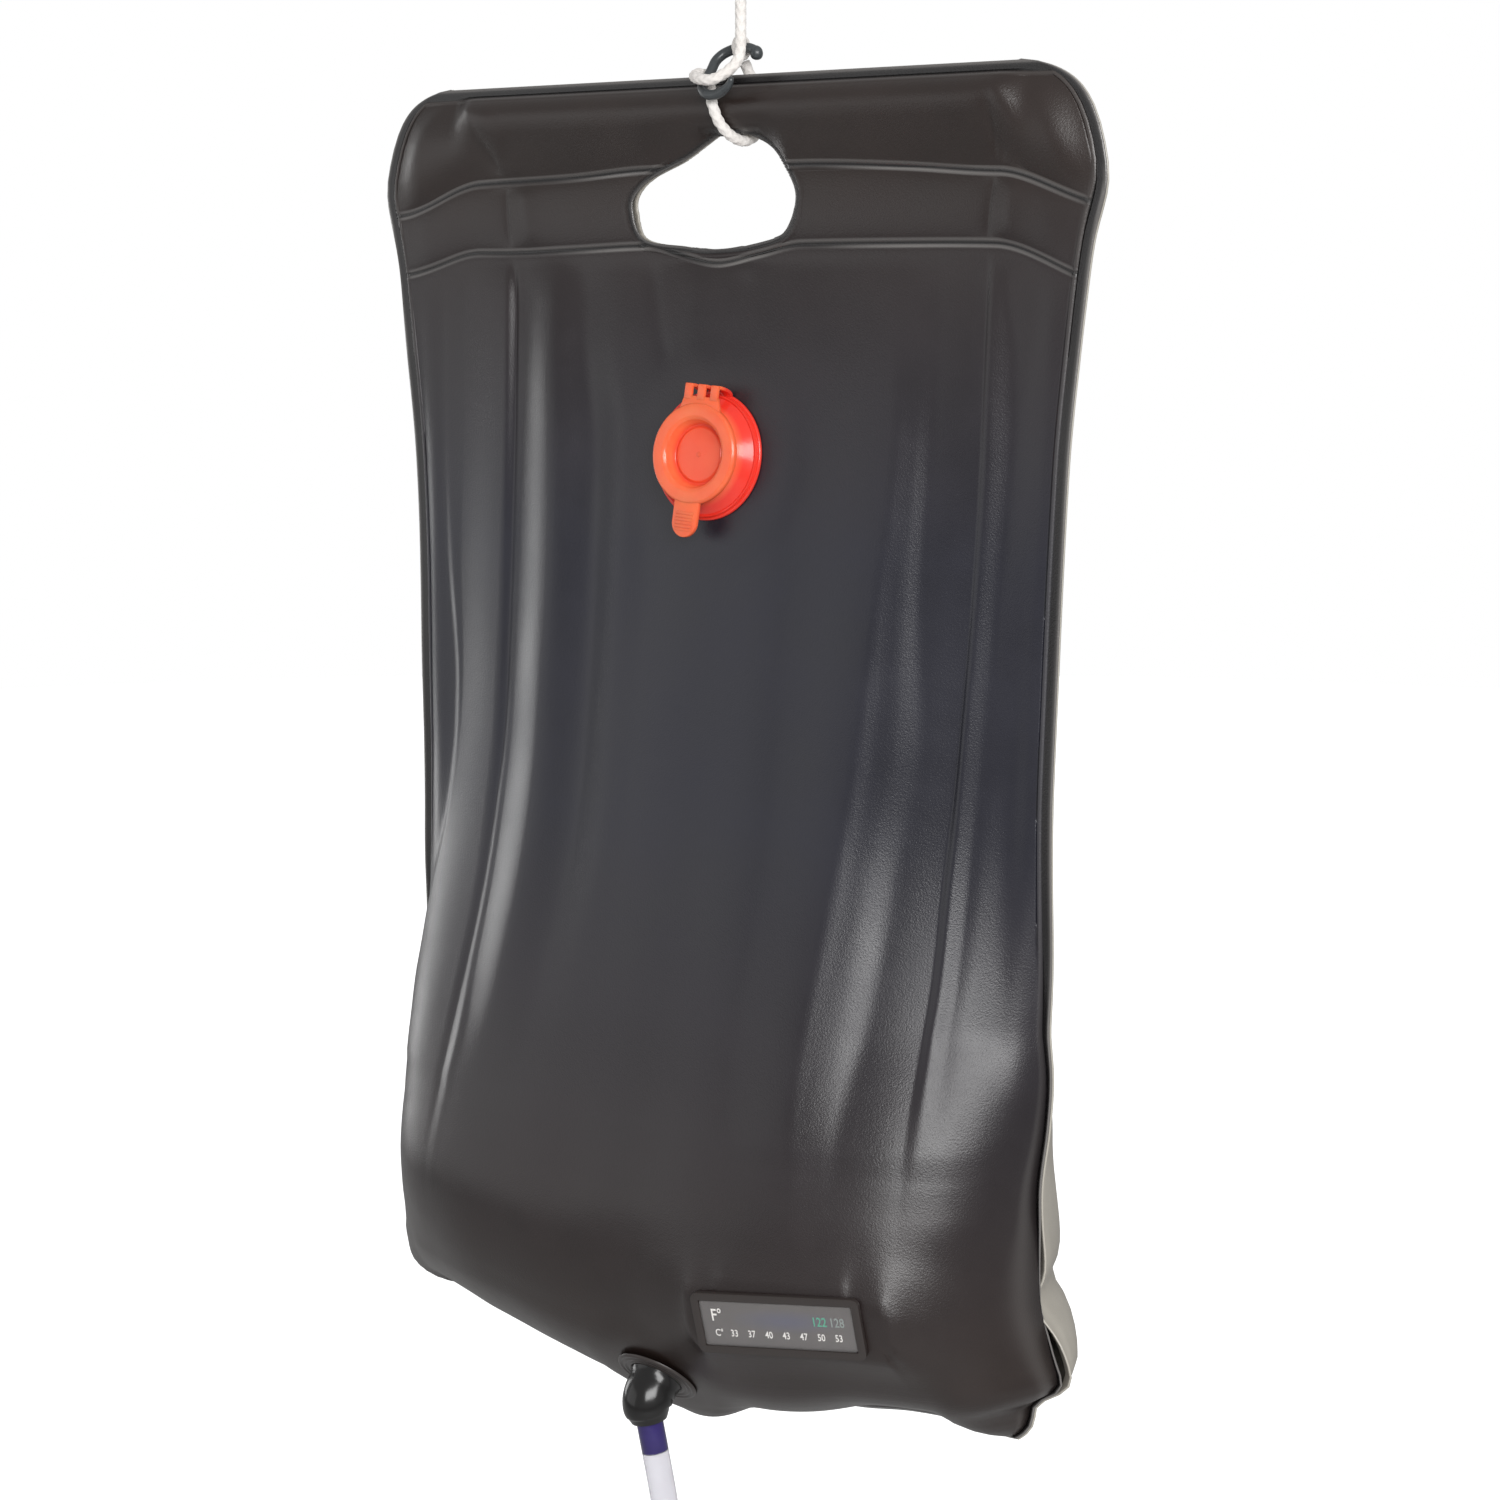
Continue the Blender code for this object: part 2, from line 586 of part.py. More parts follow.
ORANGE = (0.87, 0.10, 0.05)
NECK_STEP_TOP = SEAT + NECK_FLANGE + NECK_STEP
NECK_TOP = SEAT + NECK_HEIGHT
CAP_FOOT = NECK_TOP + SEAT
CAP_TOP = CAP_FOOT + CAP_RIM
HINGE_Y = CAP_RADIUS + HINGE_RISE
HINGE_Z = CAP_FOOT + CAP_RIM / 2


def strap_xs():
    return [STRAP_PITCH * (i - (STRAP_COUNT - 1) / 2) for i in range(STRAP_COUNT)]


def across_x(name, outline, width):
    """An outline of (y, z) pairs extruded across local x."""
    mesh = extruded(name, outline, -width / 2, width / 2)
    mesh.transform(Matrix(((0, 0, 1, 0), (1, 0, 0, 0), (0, 1, 0, 0), (0, 0, 0, 1))))
    return mesh


def strap(name, line, width):
    """A flat strap along a line of (y, z) pairs."""
    line = np.array(line)
    tangent = np.gradient(line, axis=0)
    normal = np.stack([-tangent[:, 1], tangent[:, 0]], 1)
    normal = normal / np.linalg.norm(normal, axis=1)[:, None] * STRAP_THICK / 2
    return across_x(name, np.vstack([line + normal, (line - normal)[::-1]]), width)


def make_filler():
    at = empty("filler_seat", seat(FILLER_X, FILLER_DEPTH) @ Matrix.Rotation(FILLER_ROLL, 4, "Z"))
    profile = [
        (NECK_BORE_RADIUS, SEAT),
        (NECK_FLANGE_RADIUS, SEAT),
        (NECK_FLANGE_RADIUS, SEAT + NECK_FLANGE * 0.7),
        (NECK_FLANGE_RADIUS - NECK_FLANGE * 0.3, SEAT + NECK_FLANGE),
        (NECK_STEP_RADIUS, SEAT + NECK_FLANGE),
        (NECK_STEP_RADIUS, NECK_STEP_TOP),
        (NECK_FOOT_RADIUS, NECK_STEP_TOP),
        (NECK_TOP_RADIUS, NECK_TOP),
        (NECK_BORE_RADIUS + STRAP_THICK / 2, NECK_TOP),
        (NECK_BORE_RADIUS, NECK_TOP - STRAP_THICK / 2),
    ]
    neck = finish("filler_neck", turned("filler_neck", profile, 36), ORANGE, 0.3, parent=at)
    foot_y = NECK_FLANGE_RADIUS - STRAP_THICK
    reach = HINGE_Y - foot_y
    bend = arc((foot_y, HINGE_Z), 1, -90, 0, 5)
    run = [(foot_y + (y - foot_y) * reach, HINGE_Z + (z - HINGE_Z) * (HINGE_Z - NECK_FLANGE)) for y, z in bend]
    run[-1] = (HINGE_Y, HINGE_Z - STRAP_THICK / 2 - SEAT)
    for i, x in enumerate(strap_xs()):
        mesh = strap(f"neck_strap_{i}", run, STRAP_WIDTH)
        lump = helper(f"neck_strap_{i}", mesh)
        lump.parent = at
        lump.location = (x, 0, 0)
        boolean(neck, lump, "UNION")
    make_cap(at)


def make_cap(at):
    """The cap, built round its hinge: local y is up the wall and z is out of it."""
    plug_foot = SEAT + NECK_FLANGE
    floor = CAP_TOP - CAP_DISH_DEPTH
    profile = [
        (0, floor - PLUG_WALL),
        (PLUG_FOOT_RADIUS - PLUG_WALL, floor - PLUG_WALL),
        (PLUG_FOOT_RADIUS - PLUG_WALL, plug_foot),
        (PLUG_FOOT_RADIUS, plug_foot),
        (PLUG_RADIUS, CAP_FOOT - CAP_RIM / 2),
        (PLUG_RADIUS, CAP_FOOT),
        (CAP_RADIUS, CAP_FOOT),
        (CAP_RADIUS, CAP_TOP - CAP_RIM / 3),
        (CAP_RADIUS - CAP_RIM / 3, CAP_TOP),
        (CAP_DISH_RADIUS, CAP_TOP),
        (CAP_DISH_RADIUS - CAP_RIM / 3, CAP_TOP - CAP_RIM / 3),
        (CAP_DISC_RADIUS + CAP_RIM / 4, floor),
        (CAP_DISC_RADIUS, floor),
        (CAP_DISC_RADIUS - CAP_DISC_RISE, floor + CAP_DISC_RISE),
        (0, floor + CAP_DISC_RISE),
    ]
    mesh = turned("filler_cap", profile, 36)
    mesh.transform(Matrix.Translation((0, -HINGE_Y, -HINGE_Z)))
    cap = finish("filler_cap", mesh, ORANGE, 0.3, parent=at, location=(0, HINGE_Y, HINGE_Z))
    tab_low = CAP_FOOT + (CAP_RIM - TAB_THICK) / 2
    half = TAB_WIDTH / 2
    tip = (0, -CAP_RADIUS - TAB_LENGTH + half)
    outline = [(half, -CAP_RADIUS + CAP_RIM), (-half, -CAP_RADIUS + CAP_RIM)]
    outline += arc(tip, half, 180, 360, 12)
    tab = helper("cap_tab", extruded("cap_tab", outline, tab_low, tab_low + TAB_THICK))
    lumps = [tab]
    for i in range(TAB_RIBS):
        y = tip[1] + half / 2 - (i - 0.5) * TAB_WIDTH * 0.11
        short = half * 0.72
        box = [(-short, y - TAB_RIB), (short, y - TAB_RIB), (short, y + TAB_RIB), (-short, y + TAB_RIB)]
        top = tab_low + TAB_THICK
        lumps.append(helper(f"tab_rib_{i}", extruded(f"tab_rib_{i}", box, top - TAB_RIB, top + TAB_RIB / 2)))
    lug_half = STRAP_PITCH + STRAP_WIDTH / 2
    lug_top = CAP_RADIUS + STRAP_THICK * 2
    lug = [(-lug_half * 1.25, CAP_RADIUS - CAP_RIM * 1.6), (lug_half * 1.25, CAP_RADIUS - CAP_RIM * 1.6)]
    lug += [(lug_half, lug_top), (-lug_half, lug_top)]
    lumps.append(helper("cap_lug", extruded("cap_lug", lug, CAP_FOOT, CAP_TOP - CAP_RIM / 3)))
    start = lug_top - STRAP_THICK
    half_thick = STRAP_THICK / 2
    outline = [(start, HINGE_Z + half_thick), (start, HINGE_Z - half_thick)]
    outline += arc((HINGE_Y, HINGE_Z), half_thick, -90, 90, 6)
    for i, x in enumerate(strap_xs()):
        mesh = across_x(f"cap_strap_{i}", outline, STRAP_WIDTH)
        mesh.transform(Matrix.Translation((x, 0, 0)))
        lumps.append(helper(f"cap_strap_{i}", mesh))
    for lump in lumps:
        lump.data.transform(Matrix.Translation((0, -HINGE_Y, -HINGE_Z)))
        lump.parent = at
        lump.location = (0, HINGE_Y, HINGE_Z)
        boolean(cap, lump, "UNION")


# The thermometer


def rounded(width, height, radius, steps=3):
    x, y = width / 2 - radius, height / 2 - radius
    points = []
    for (sx, sy), start in (((1, 1), 0), ((-1, 1), 90), ((-1, -1), 180), ((1, -1), 270)):
        points += arc((sx * x, sy * y), radius, start, start + 90, steps)
    return points


def make_gauge():
    at = empty("gauge_seat", seat(GAUGE_X, GAUGE_DEPTH))
    top = SEAT + GAUGE_THICK
    frame_mesh = extruded("gauge_frame", rounded(GAUGE_WIDTH, GAUGE_HEIGHT, GAUGE_RIM), SEAT, top)
    frame = finish("thermometer_frame", frame_mesh, (0.03, 0.028, 0.03), 0.25, parent=at, smooth=False)
    width, height = GAUGE_WIDTH - 2 * GAUGE_RIM, GAUGE_HEIGHT - 2 * GAUGE_RIM
    floor = SEAT + GAUGE_THICK - STRIP_THICK - WINDOW_THICK - 3 * SEAT
    recess = extruded("gauge_recess", rounded(width, height, GAUGE_RIM / 3), floor, top + OVERRUN)
    cutter = helper("gauge_recess", recess)
    cutter.parent = at
    boolean(frame, cutter, "DIFFERENCE")
    inside = (width - 2 * SEAT, height - 2 * SEAT, GAUGE_RIM / 3 - SEAT)
    strip_low = floor + SEAT
    strip = extruded("thermometer_strip", rounded(*inside), strip_low, strip_low + STRIP_THICK)
    finish("thermometer_strip", strip, (0.11, 0.09, 0.085), 0.35, parent=at, smooth=False)
    low = strip_low + STRIP_THICK + SEAT
    window = extruded("thermometer_window", rounded(*inside), low, low + WINDOW_THICK)
    finish("thermometer_window", window, (0.8, 0.8, 0.8), 0.05, parent=at, smooth=False)


# The outlet


def outlet_line():
    """Middle line of the elbow in the frame: out of the wall, then round and down to the hose."""
    matrix = seat(OUTLET_X, OUTLET_DEPTH)
    foot = matrix.translation
    out = matrix.to_3x3() @ Vector((0, 0, 1))
    corner = foot + out * (OUTLET_PLATE + ELBOW_RISE)
    down = matrix.to_3x3() @ Vector(HOSE_START_DIRECTION).normalized()
    return foot, out, corner, down


HOSE_START_DIRECTION = (0.135, -0.763, 0.646)  # across the flange, up it and out of it


def along(direction, at):
    """A frame at a point with local z along a direction."""
    matrix = Vector(direction).to_track_quat("Z", "Y").to_matrix().to_4x4()
    matrix.translation = at
    return matrix


def make_outlet():
    at = empty("outlet_seat", seat(OUTLET_X, OUTLET_DEPTH))
    plate_top = SEAT + OUTLET_PLATE
    pitch = (OUTLET_RADIUS - ELBOW_FOOT_RADIUS) / OUTLET_RIBS
    profile = [(OUTLET_BORE_RADIUS, SEAT), (OUTLET_RADIUS, SEAT), (OUTLET_RADIUS, SEAT + OUTLET_PLATE / 2)]
    for i in range(OUTLET_RIBS):
        outer = OUTLET_RADIUS - i * pitch
        profile += [(outer - pitch * 0.15, plate_top), (outer - pitch * 0.35, plate_top + OUTLET_RIB)]
        profile += [(outer - pitch * 0.65, plate_top + OUTLET_RIB), (outer - pitch * 0.85, plate_top)]
    profile += [(OUTLET_BORE_RADIUS, plate_top)]
    finish("outlet_flange", turned("outlet_flange", profile, 28), (0.02, 0.02, 0.021), 0.3, parent=at)
    foot, out, corner, down = outlet_line()
    start = foot + out * (plate_top + SEAT)
    rise = (corner - start).length
    cone = [
        (0, 0),
        (ELBOW_FOOT_RADIUS, 0),
        (ELBOW_FOOT_RADIUS, OUTLET_PLATE / 2),
        (ELBOW_TOP_RADIUS, rise * 0.8),
        (ELBOW_TOP_RADIUS * 0.94, rise + ELBOW_TOP_RADIUS * 0.35),
        (ELBOW_TOP_RADIUS * 0.72, rise + ELBOW_TOP_RADIUS * 0.68),
        (0, rise + ELBOW_TOP_RADIUS * 0.8),
    ]
    elbow = finish("outlet_elbow", turned("outlet_elbow", cone, 28), (0.012, 0.012, 0.012), 0.12)
    elbow.matrix_world = along(out, start)
    mouth = COUPLER_RADIUS + OUTLET_PLATE * 1.6
    socket = [
        (0, 0),
        (ELBOW_TOP_RADIUS * 0.9, 0),
        (ELBOW_TOP_RADIUS * 0.96, ELBOW_DROP * 0.3),
        (mouth, ELBOW_DROP),
        (0, ELBOW_DROP),
    ]
    arm = helper("elbow_socket", turned("elbow_socket", socket, 28), along(down, corner - down * OUTLET_PLATE))
    boolean(elbow, arm, "UNION")
    rise_cut = bore_cutter("elbow_bore", OUTLET_BORE_RADIUS, along(out, start), -OVERRUN, rise)
    boolean(elbow, rise_cut, "DIFFERENCE")
    drop_cut = bore_cutter(
        "elbow_socket_bore",
        COUPLER_RADIUS + SEAT,
        along(down, corner - down * OUTLET_PLATE),
        ELBOW_DROP - COUPLER_SEATED,
        ELBOW_DROP + OVERRUN,
    )
    boolean(elbow, drop_cut, "DIFFERENCE")
    way = bore_cutter("elbow_way", OUTLET_BORE_RADIUS * 0.9, along(down, corner), -OUTLET_PLATE, ELBOW_DROP)
    boolean(elbow, way, "DIFFERENCE")
    make_coupler(corner - down * OUTLET_PLATE + down * (ELBOW_DROP - COUPLER_SEATED + SEAT), down)


COUPLER_RADIUS = HOSE_DIAMETER / 2
COUPLER_SEATED = 0.0050


def make_coupler(top, down):
    bore = OUTLET_BORE_RADIUS * 0.8
    profile = [
        (bore, 0),
        (COUPLER_RADIUS - SEAT, 0),
        (COUPLER_RADIUS, COUPLER_SEATED),
        (COUPLER_RADIUS, COUPLER_LENGTH),
        (bore, COUPLER_LENGTH),
    ]
    obj = finish("hose_coupler", turned("hose_coupler", profile, 24), (0.03, 0.018, 0.12), 0.12)
    obj.matrix_world = along(down, top)


def hose_start():
    _, _, corner, down = outlet_line()
    top = corner - down * OUTLET_PLATE + down * (ELBOW_DROP - COUPLER_SEATED + SEAT)
    return top + down * (COUPLER_LENGTH + SEAT), down


# Where the hose hangs: steps from its top, each (x, y, down), chosen by hand.
HOSE_STEPS = [
    (0, 0, 0),
    (0.0029, 0.0013, 0.018),
    (0.0060, 0.0035, 0.045),
    (0.0084, 0.0063, 0.085),
    (0.0096, 0.0085, 0.130),
    (0.0099, 0.0097, 0.180),
    (0.0097, 0.0102, 0.230),
    (0.0095, 0.0103, 0.275),
    (0.0094, 0.0103, 0.3292),
]


def hose_points():
    start, _ = hose_start()
    return [(start.x + x, start.y + y, start.z - down) for x, y, down in HOSE_STEPS]


def make_hose():
    points = smooth_line(hose_points(), HOSE_DIAMETER * 1.6)
    run = np.linalg.norm(np.diff(points, axis=0), axis=1).sum()
    print("hose length", round(float(run), 4), "of", HOSE_LENGTH)
    tube("hose", points, HOSE_DIAMETER / 2, (0.78, 0.77, 0.8), 0.15, resolution=3)


# The shower head


def make_head():
    end = Vector(hose_points()[-1])
    top = Matrix.Translation(end - Vector((0, 0, SEAT))) @ Matrix.Rotation(math.pi, 4, "X")
    at = empty("shower_head_seat", top)
    collar = HOSE_DIAMETER / 2
    neck_from = STEM_COLLAR + SEAT
    stop_low = STEM_LENGTH - STEM_STOP
    groove = STEM_RADIUS - RING_WIRE_RADIUS * 0.6
    ring_at = neck_from + HEAD_NECK / 2
    wide = RING_WIRE_RADIUS + SEAT
    profile = [(STEM_BORE_RADIUS, 0), (collar, 0), (STEM_COLLAR_RADIUS, STEM_COLLAR / 3)]
    profile += [(STEM_COLLAR_RADIUS, STEM_COLLAR), (STEM_RADIUS, STEM_COLLAR)]
    profile += [(STEM_RADIUS, ring_at - wide), (groove, ring_at - wide)]
    profile += [(groove, ring_at + wide), (STEM_RADIUS, ring_at + wide)]
    profile += [(STEM_RADIUS, stop_low), (STEM_STOP_RADIUS, stop_low), (STEM_STOP_RADIUS, STEM_LENGTH)]
    profile += [(STEM_BORE_RADIUS, STEM_LENGTH)]
    finish("valve_stem", turned("valve_stem", profile, 20), (0.03, 0.018, 0.12), 0.2, parent=at)
    rubber = (0.015, 0.015, 0.015)
    ring = turned_ring("stem_o_ring", groove + SEAT + RING_WIRE_RADIUS, ring_at, RING_WIRE_RADIUS)
    finish("stem_o_ring", ring, rubber, 0.5, parent=at)
    make_shower_head(at, neck_from)


def turned_ring(name, radius, height, wire):
    return turned(name, arc((radius, height), wire, 0, 360, 8)[:-1], 20)


def make_shower_head(at, top):
    neck_low = top + HEAD_NECK
    low = top + HEAD_HEIGHT
    plate_high = low - HEAD_LIP * 0.45
    inner = HEAD_RADIUS - HEAD_WALL
    profile = [
        (HEAD_BORE_RADIUS, top),
        (HEAD_NECK_RADIUS * 0.93, top),
        (HEAD_NECK_RADIUS, top + HEAD_WALL),
        (HEAD_NECK_RADIUS, neck_low),
        (HEAD_NECK_RADIUS * 1.15, neck_low + HEAD_LIP),
        (HEAD_RADIUS * 0.62, neck_low + HEAD_LIP * 2),
        (HEAD_RADIUS * 0.92, low - HEAD_LIP * 1.8),
        (HEAD_RADIUS, low - HEAD_LIP),
        (HEAD_RADIUS, low - HEAD_WALL / 2),
        (HEAD_RADIUS - HEAD_WALL / 2, low),
        (inner + SEAT, low),
        (inner + SEAT, plate_high - PLATE_THICK),
        (inner - HEAD_WALL, plate_high - PLATE_THICK - SEAT),
        (HEAD_RADIUS * 0.84, low - HEAD_LIP * 1.9),
        (HEAD_RADIUS * 0.52, neck_low + HEAD_LIP * 2.5),
        (HEAD_CHAMBER_RADIUS, neck_low + HEAD_LIP * 1.5),
        (HEAD_CHAMBER_RADIUS, STEM_LENGTH - STEM_STOP - VALVE_TRAVEL - SEAT),
        (HEAD_BORE_RADIUS, STEM_LENGTH - STEM_STOP - VALVE_TRAVEL - SEAT),
    ]
    head = finish("shower_head", turned("shower_head", profile, 28), (0.015, 0.015, 0.016), 0.25, parent=at)
    for i in range(3):
        z = top + HEAD_NECK * (0.35 + 0.2 * i)
        groove = [(HEAD_NECK_RADIUS - HEAD_WALL / 3, z), (HEAD_NECK_RADIUS + OVERRUN, z - HEAD_WALL / 2)]
        groove += [(HEAD_NECK_RADIUS + OVERRUN, z + HEAD_WALL / 2)]
        cutter = helper(f"grip_groove_{i}", turned(f"grip_groove_{i}", groove, 28))
        cutter.parent = at
        boolean(head, cutter, "DIFFERENCE")
    floor = plate_high - PLATE_THICK + SEAT
    tip = STEM_LENGTH - POST_ENTRY
    ring_radius = STEM_BORE_RADIUS - SEAT - POST_RING_WIRE_RADIUS
    groove = ring_radius - POST_RING_WIRE_RADIUS - SEAT
    ring_at = tip + POST_RADIUS
    wide = POST_RING_WIRE_RADIUS + SEAT
    post = [(0, tip), (POST_RADIUS * 0.6, tip), (POST_RADIUS, tip + POST_RADIUS * 0.4), (POST_RADIUS, ring_at - wide)]
    post += [(groove, ring_at - wide), (groove, ring_at + wide), (POST_RADIUS, ring_at + wide)]
    post += [(POST_RADIUS, floor - POST_RADIUS), (POST_RADIUS * 2, floor)]
    plate_profile = [*post, (inner, floor), (inner, plate_high), (0, plate_high + PLATE_THICK / 2)]
    plate = finish("spray_plate", turned("spray_plate", plate_profile, 28), (0.03, 0.018, 0.12), 0.3, parent=at)
    ring = turned_ring("post_o_ring", ring_radius, ring_at, POST_RING_WIRE_RADIUS)
    finish("post_o_ring", ring, (0.015, 0.015, 0.015), 0.5, parent=at)
    holes = bmesh.new()
    places = []
    for count, share in PLATE_HOLE_RINGS:
        turns = [math.tau * i / count for i in range(count)]
        places += [(inner * share * math.cos(a), inner * share * math.sin(a)) for a in turns]
    for x, y in places:
        made = bmesh.ops.create_cone(
            holes,
            cap_ends=True,
            segments=8,
            radius1=PLATE_HOLE_RADIUS,
            radius2=PLATE_HOLE_RADIUS,
            depth=PLATE_THICK * 4,
        )
        bmesh.ops.translate(holes, verts=made["verts"], vec=(x, y, plate_high))
    cutter = helper("spray_holes", to_mesh("spray_holes", holes))
    cutter.parent = at
    boolean(plate, cutter, "DIFFERENCE")


# Cord and hook. Places are on the bag: x, height in front of the seam plane as a negative y, and depth.


def on_bag(points):
    return [(x - CORD_X, y - CORD_Y, -HANG_DROP - depth) for x, y, depth in points]


# The hook's middle line, chosen by hand: from the tip of the lower curl to the ball of the upper one.
HOOK_ROUTE = [
    (0.0199, -0.0204, 0.0019),
    (0.0196, -0.0203, 0.0039),
    (0.0180, -0.0200, 0.0059),
    (0.0145, -0.0195, 0.0080),
    (0.0100, -0.0192, 0.0093),
    (0.0054, -0.0188, 0.0087),
    (0.0014, -0.0162, 0.0060),
    (0.0008, -0.0138, 0.0030),
    (0.0016, -0.0118, 0.0004),
    (0.0019, -0.0098, -0.0025),
    (0.0023, -0.0074, -0.0060),
    (0.0043, -0.0050, -0.0088),
    (0.0080, -0.0034, -0.0106),
    (0.0121, -0.0024, -0.0113),
    (0.0169, -0.0024, -0.0109),
    (0.0201, -0.0024, -0.0091),
    (0.0195, -0.0024, -0.0059),
]
# The cord's route, chosen by hand: from the loop's knot down in front of the upper curl, across and round
# the hook's shank, behind its lower curl, down the sleeve, through the handle hole and up behind.
CORD_ROUTE = [
    (0.0196, -0.0130, -0.0360),
    (0.0196, -0.0130, -0.0260),
    (0.0196, -0.0130, -0.0161),
    (0.0194, -0.0132, -0.0086),
    (0.0186, -0.0142, -0.0048),
    (0.0165, -0.0164, -0.0014),
    (0.0140, -0.0196, 0.0014),
    (0.0104, -0.0212, 0.0030),
    (0.0056, -0.0212, 0.0028),
    (0.0006, -0.0194, 0.0018),
    (-0.0029, -0.0160, 0.0006),
    (-0.0040, -0.0112, -0.0006),
    (-0.0030, -0.0072, 0.0000),
    (-0.0008, -0.0079, 0.0030),
    (0.0027, -0.0120, 0.0079),
    (0.0045, -0.0136, 0.0114),
    (0.0059, -0.0137, 0.0152),
    (0.0071, -0.0125, 0.0194),
    (0.0086, -0.0102, 0.0231),
    (0.0100, -0.0060, 0.0263),
    (0.0112, 0.0, 0.0279),
    (0.0118, 0.0062, 0.0263),
    (0.0122, 0.0104, 0.0231),
    (0.0124, 0.0127, 0.0190),
    (0.0124, 0.0138, 0.0140),
    (0.0121, 0.0128, 0.0085),
    (0.0114, 0.0096, 0.0038),
    (0.0106, 0.0062, -0.0004),
    (0.0101, 0.0030, -0.0056),
]
LOOP_BASE = -0.0475
LOOP_SHARES = [(0.3, 0.02), (0.34, 0.08), (0.56, 0.24), (0.9, 0.5), (1, 0.68), (0.8, 0.89), (0.36, 0.985), (0, 1)]


def loop_points():
    """The hang loop: out of the knot, round and back into it."""
    rise = HANG_DROP + CORD_DIAMETER / 2 + LOOP_BASE
    side = [(CORD_X + LOOP_HALF_WIDTH * x, CORD_Y, LOOP_BASE - rise * up) for x, up in LOOP_SHARES]
    other = [(2 * CORD_X - x, y, depth) for x, y, depth in side[-2::-1]]
    return side + other


def make_hook():
    points = smooth_line(on_bag(HOOK_ROUTE), HOOK_RADIUS * 0.8)
    run = np.concatenate([[0], np.cumsum(np.linalg.norm(np.diff(points, axis=0), axis=1))])
    left = run[-1] - run
    radii = HOOK_RADIUS * (0.62 + 0.38 * ease(0, HOOK_RADIUS * 5, run))
    tip = HOOK_RADIUS
    radii = np.where(run < tip, radii * np.sqrt(np.clip(1 - (1 - run / tip) ** 2, 0.12, 1)), radii)
    ball = np.sqrt(np.clip(HOOK_BALL_RADIUS**2 - (left - HOOK_BALL_RADIUS) ** 2, 0, None))
    radii = np.maximum(np.where(left < HOOK_BALL_RADIUS, 0, radii), ball)
    radii = np.clip(radii, HOOK_RADIUS * 0.3, None)
    tube("s_hook", points, HOOK_RADIUS, (0.045, 0.05, 0.052), 0.3, radii=radii, resolution=3)


def make_cord():
    white = (0.8, 0.77, 0.74)
    spacing = CORD_DIAMETER * 0.8
    points = smooth_line(on_bag(CORD_ROUTE), spacing)
    tube("hang_cord", points, CORD_DIAMETER / 2, white, 0.8)
    tube("hang_loop", smooth_line(on_bag(loop_points()), spacing * 1.3), CORD_DIAMETER / 2, white, 0.8)
    knot_middle = (CORD_ROUTE[0][2] + LOOP_BASE) / 2
    half = (CORD_ROUTE[0][2] - LOOP_BASE) / 2 - SEAT
    profile = [(0, -half), (KNOT_RADIUS * 0.55, -half)]
    profile += [(KNOT_RADIUS * 0.93, -half * 0.6), (KNOT_RADIUS * 0.8, -half * 0.22)]
    profile += [(KNOT_RADIUS, half * 0.18), (KNOT_RADIUS * 0.92, half * 0.62), (KNOT_RADIUS * 0.55, half), (0, half)]
    knot = finish("cord_knot", turned("cord_knot", profile, 16), white, 0.8)
    knot.location = on_bag([(CORD_X, CORD_Y, knot_middle)])[0]
    make_eye(white)


EYE_AT = 13


def make_eye(white):
    """The end of the cord, turned round the hook's upper curl and sewn to itself."""
    points = [Vector(p) for p in on_bag(HOOK_ROUTE)]
    axis = (points[EYE_AT + 1] - points[EYE_AT - 1]).normalized()
    inner = HOOK_RADIUS + 3 * SEAT
    outer = inner + CORD_DIAMETER * 0.5
    half = CORD_DIAMETER / 2
    profile = [(inner, -half * 0.7), (inner + half * 0.4, -half), (outer - half * 0.5, -half)]
    profile += [(outer, -half * 0.5), (outer, half * 0.5), (outer - half * 0.5, half)]
    profile += [(inner + half * 0.4, half), (inner, half * 0.7)]
    obj = finish("cord_eye", turned("cord_eye", profile, 16), white, 0.8)
    obj.matrix_world = along(axis, points[EYE_AT])


clear_scene()
make_bag()
make_rod()
make_filler()
make_gauge()
make_outlet()
make_hose()
make_head()
make_hook()
make_cord()
bpy.context.view_layer.update()
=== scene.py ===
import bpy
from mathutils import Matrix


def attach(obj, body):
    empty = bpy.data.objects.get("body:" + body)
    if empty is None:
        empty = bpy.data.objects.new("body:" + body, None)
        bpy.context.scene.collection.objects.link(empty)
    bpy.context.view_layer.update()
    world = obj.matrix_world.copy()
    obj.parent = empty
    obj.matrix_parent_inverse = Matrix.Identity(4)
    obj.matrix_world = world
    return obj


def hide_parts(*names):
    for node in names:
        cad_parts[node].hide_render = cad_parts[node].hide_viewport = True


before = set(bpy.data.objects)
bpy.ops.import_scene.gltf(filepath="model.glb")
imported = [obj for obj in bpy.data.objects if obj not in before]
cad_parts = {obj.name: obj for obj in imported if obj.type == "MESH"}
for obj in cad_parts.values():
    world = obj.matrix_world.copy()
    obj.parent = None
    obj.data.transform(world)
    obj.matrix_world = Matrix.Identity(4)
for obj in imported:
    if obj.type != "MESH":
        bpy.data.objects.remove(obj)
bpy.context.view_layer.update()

import math

import bmesh
import bpy
import numpy as np
from mathutils import Matrix, Vector

# Camera, floor and studio. The camera looks at the bag from 36 degrees right of its front, a little from
# above. The floor is pale paper that shows white to the camera and keeps the shadow, under three large
# soft boxes.

scene = bpy.context.scene
scene.view_settings.view_transform = "Standard"


def srgb(written):
    """A colour written as sRGB hex, as the linear colour that a shader takes."""
    parts = [int(written[i : i + 2], 16) / 255 for i in (1, 3, 5)]
    return (*[p / 12.92 if p < 0.04045 else ((p + 0.055) / 1.055) ** 2.4 for p in parts], 1)


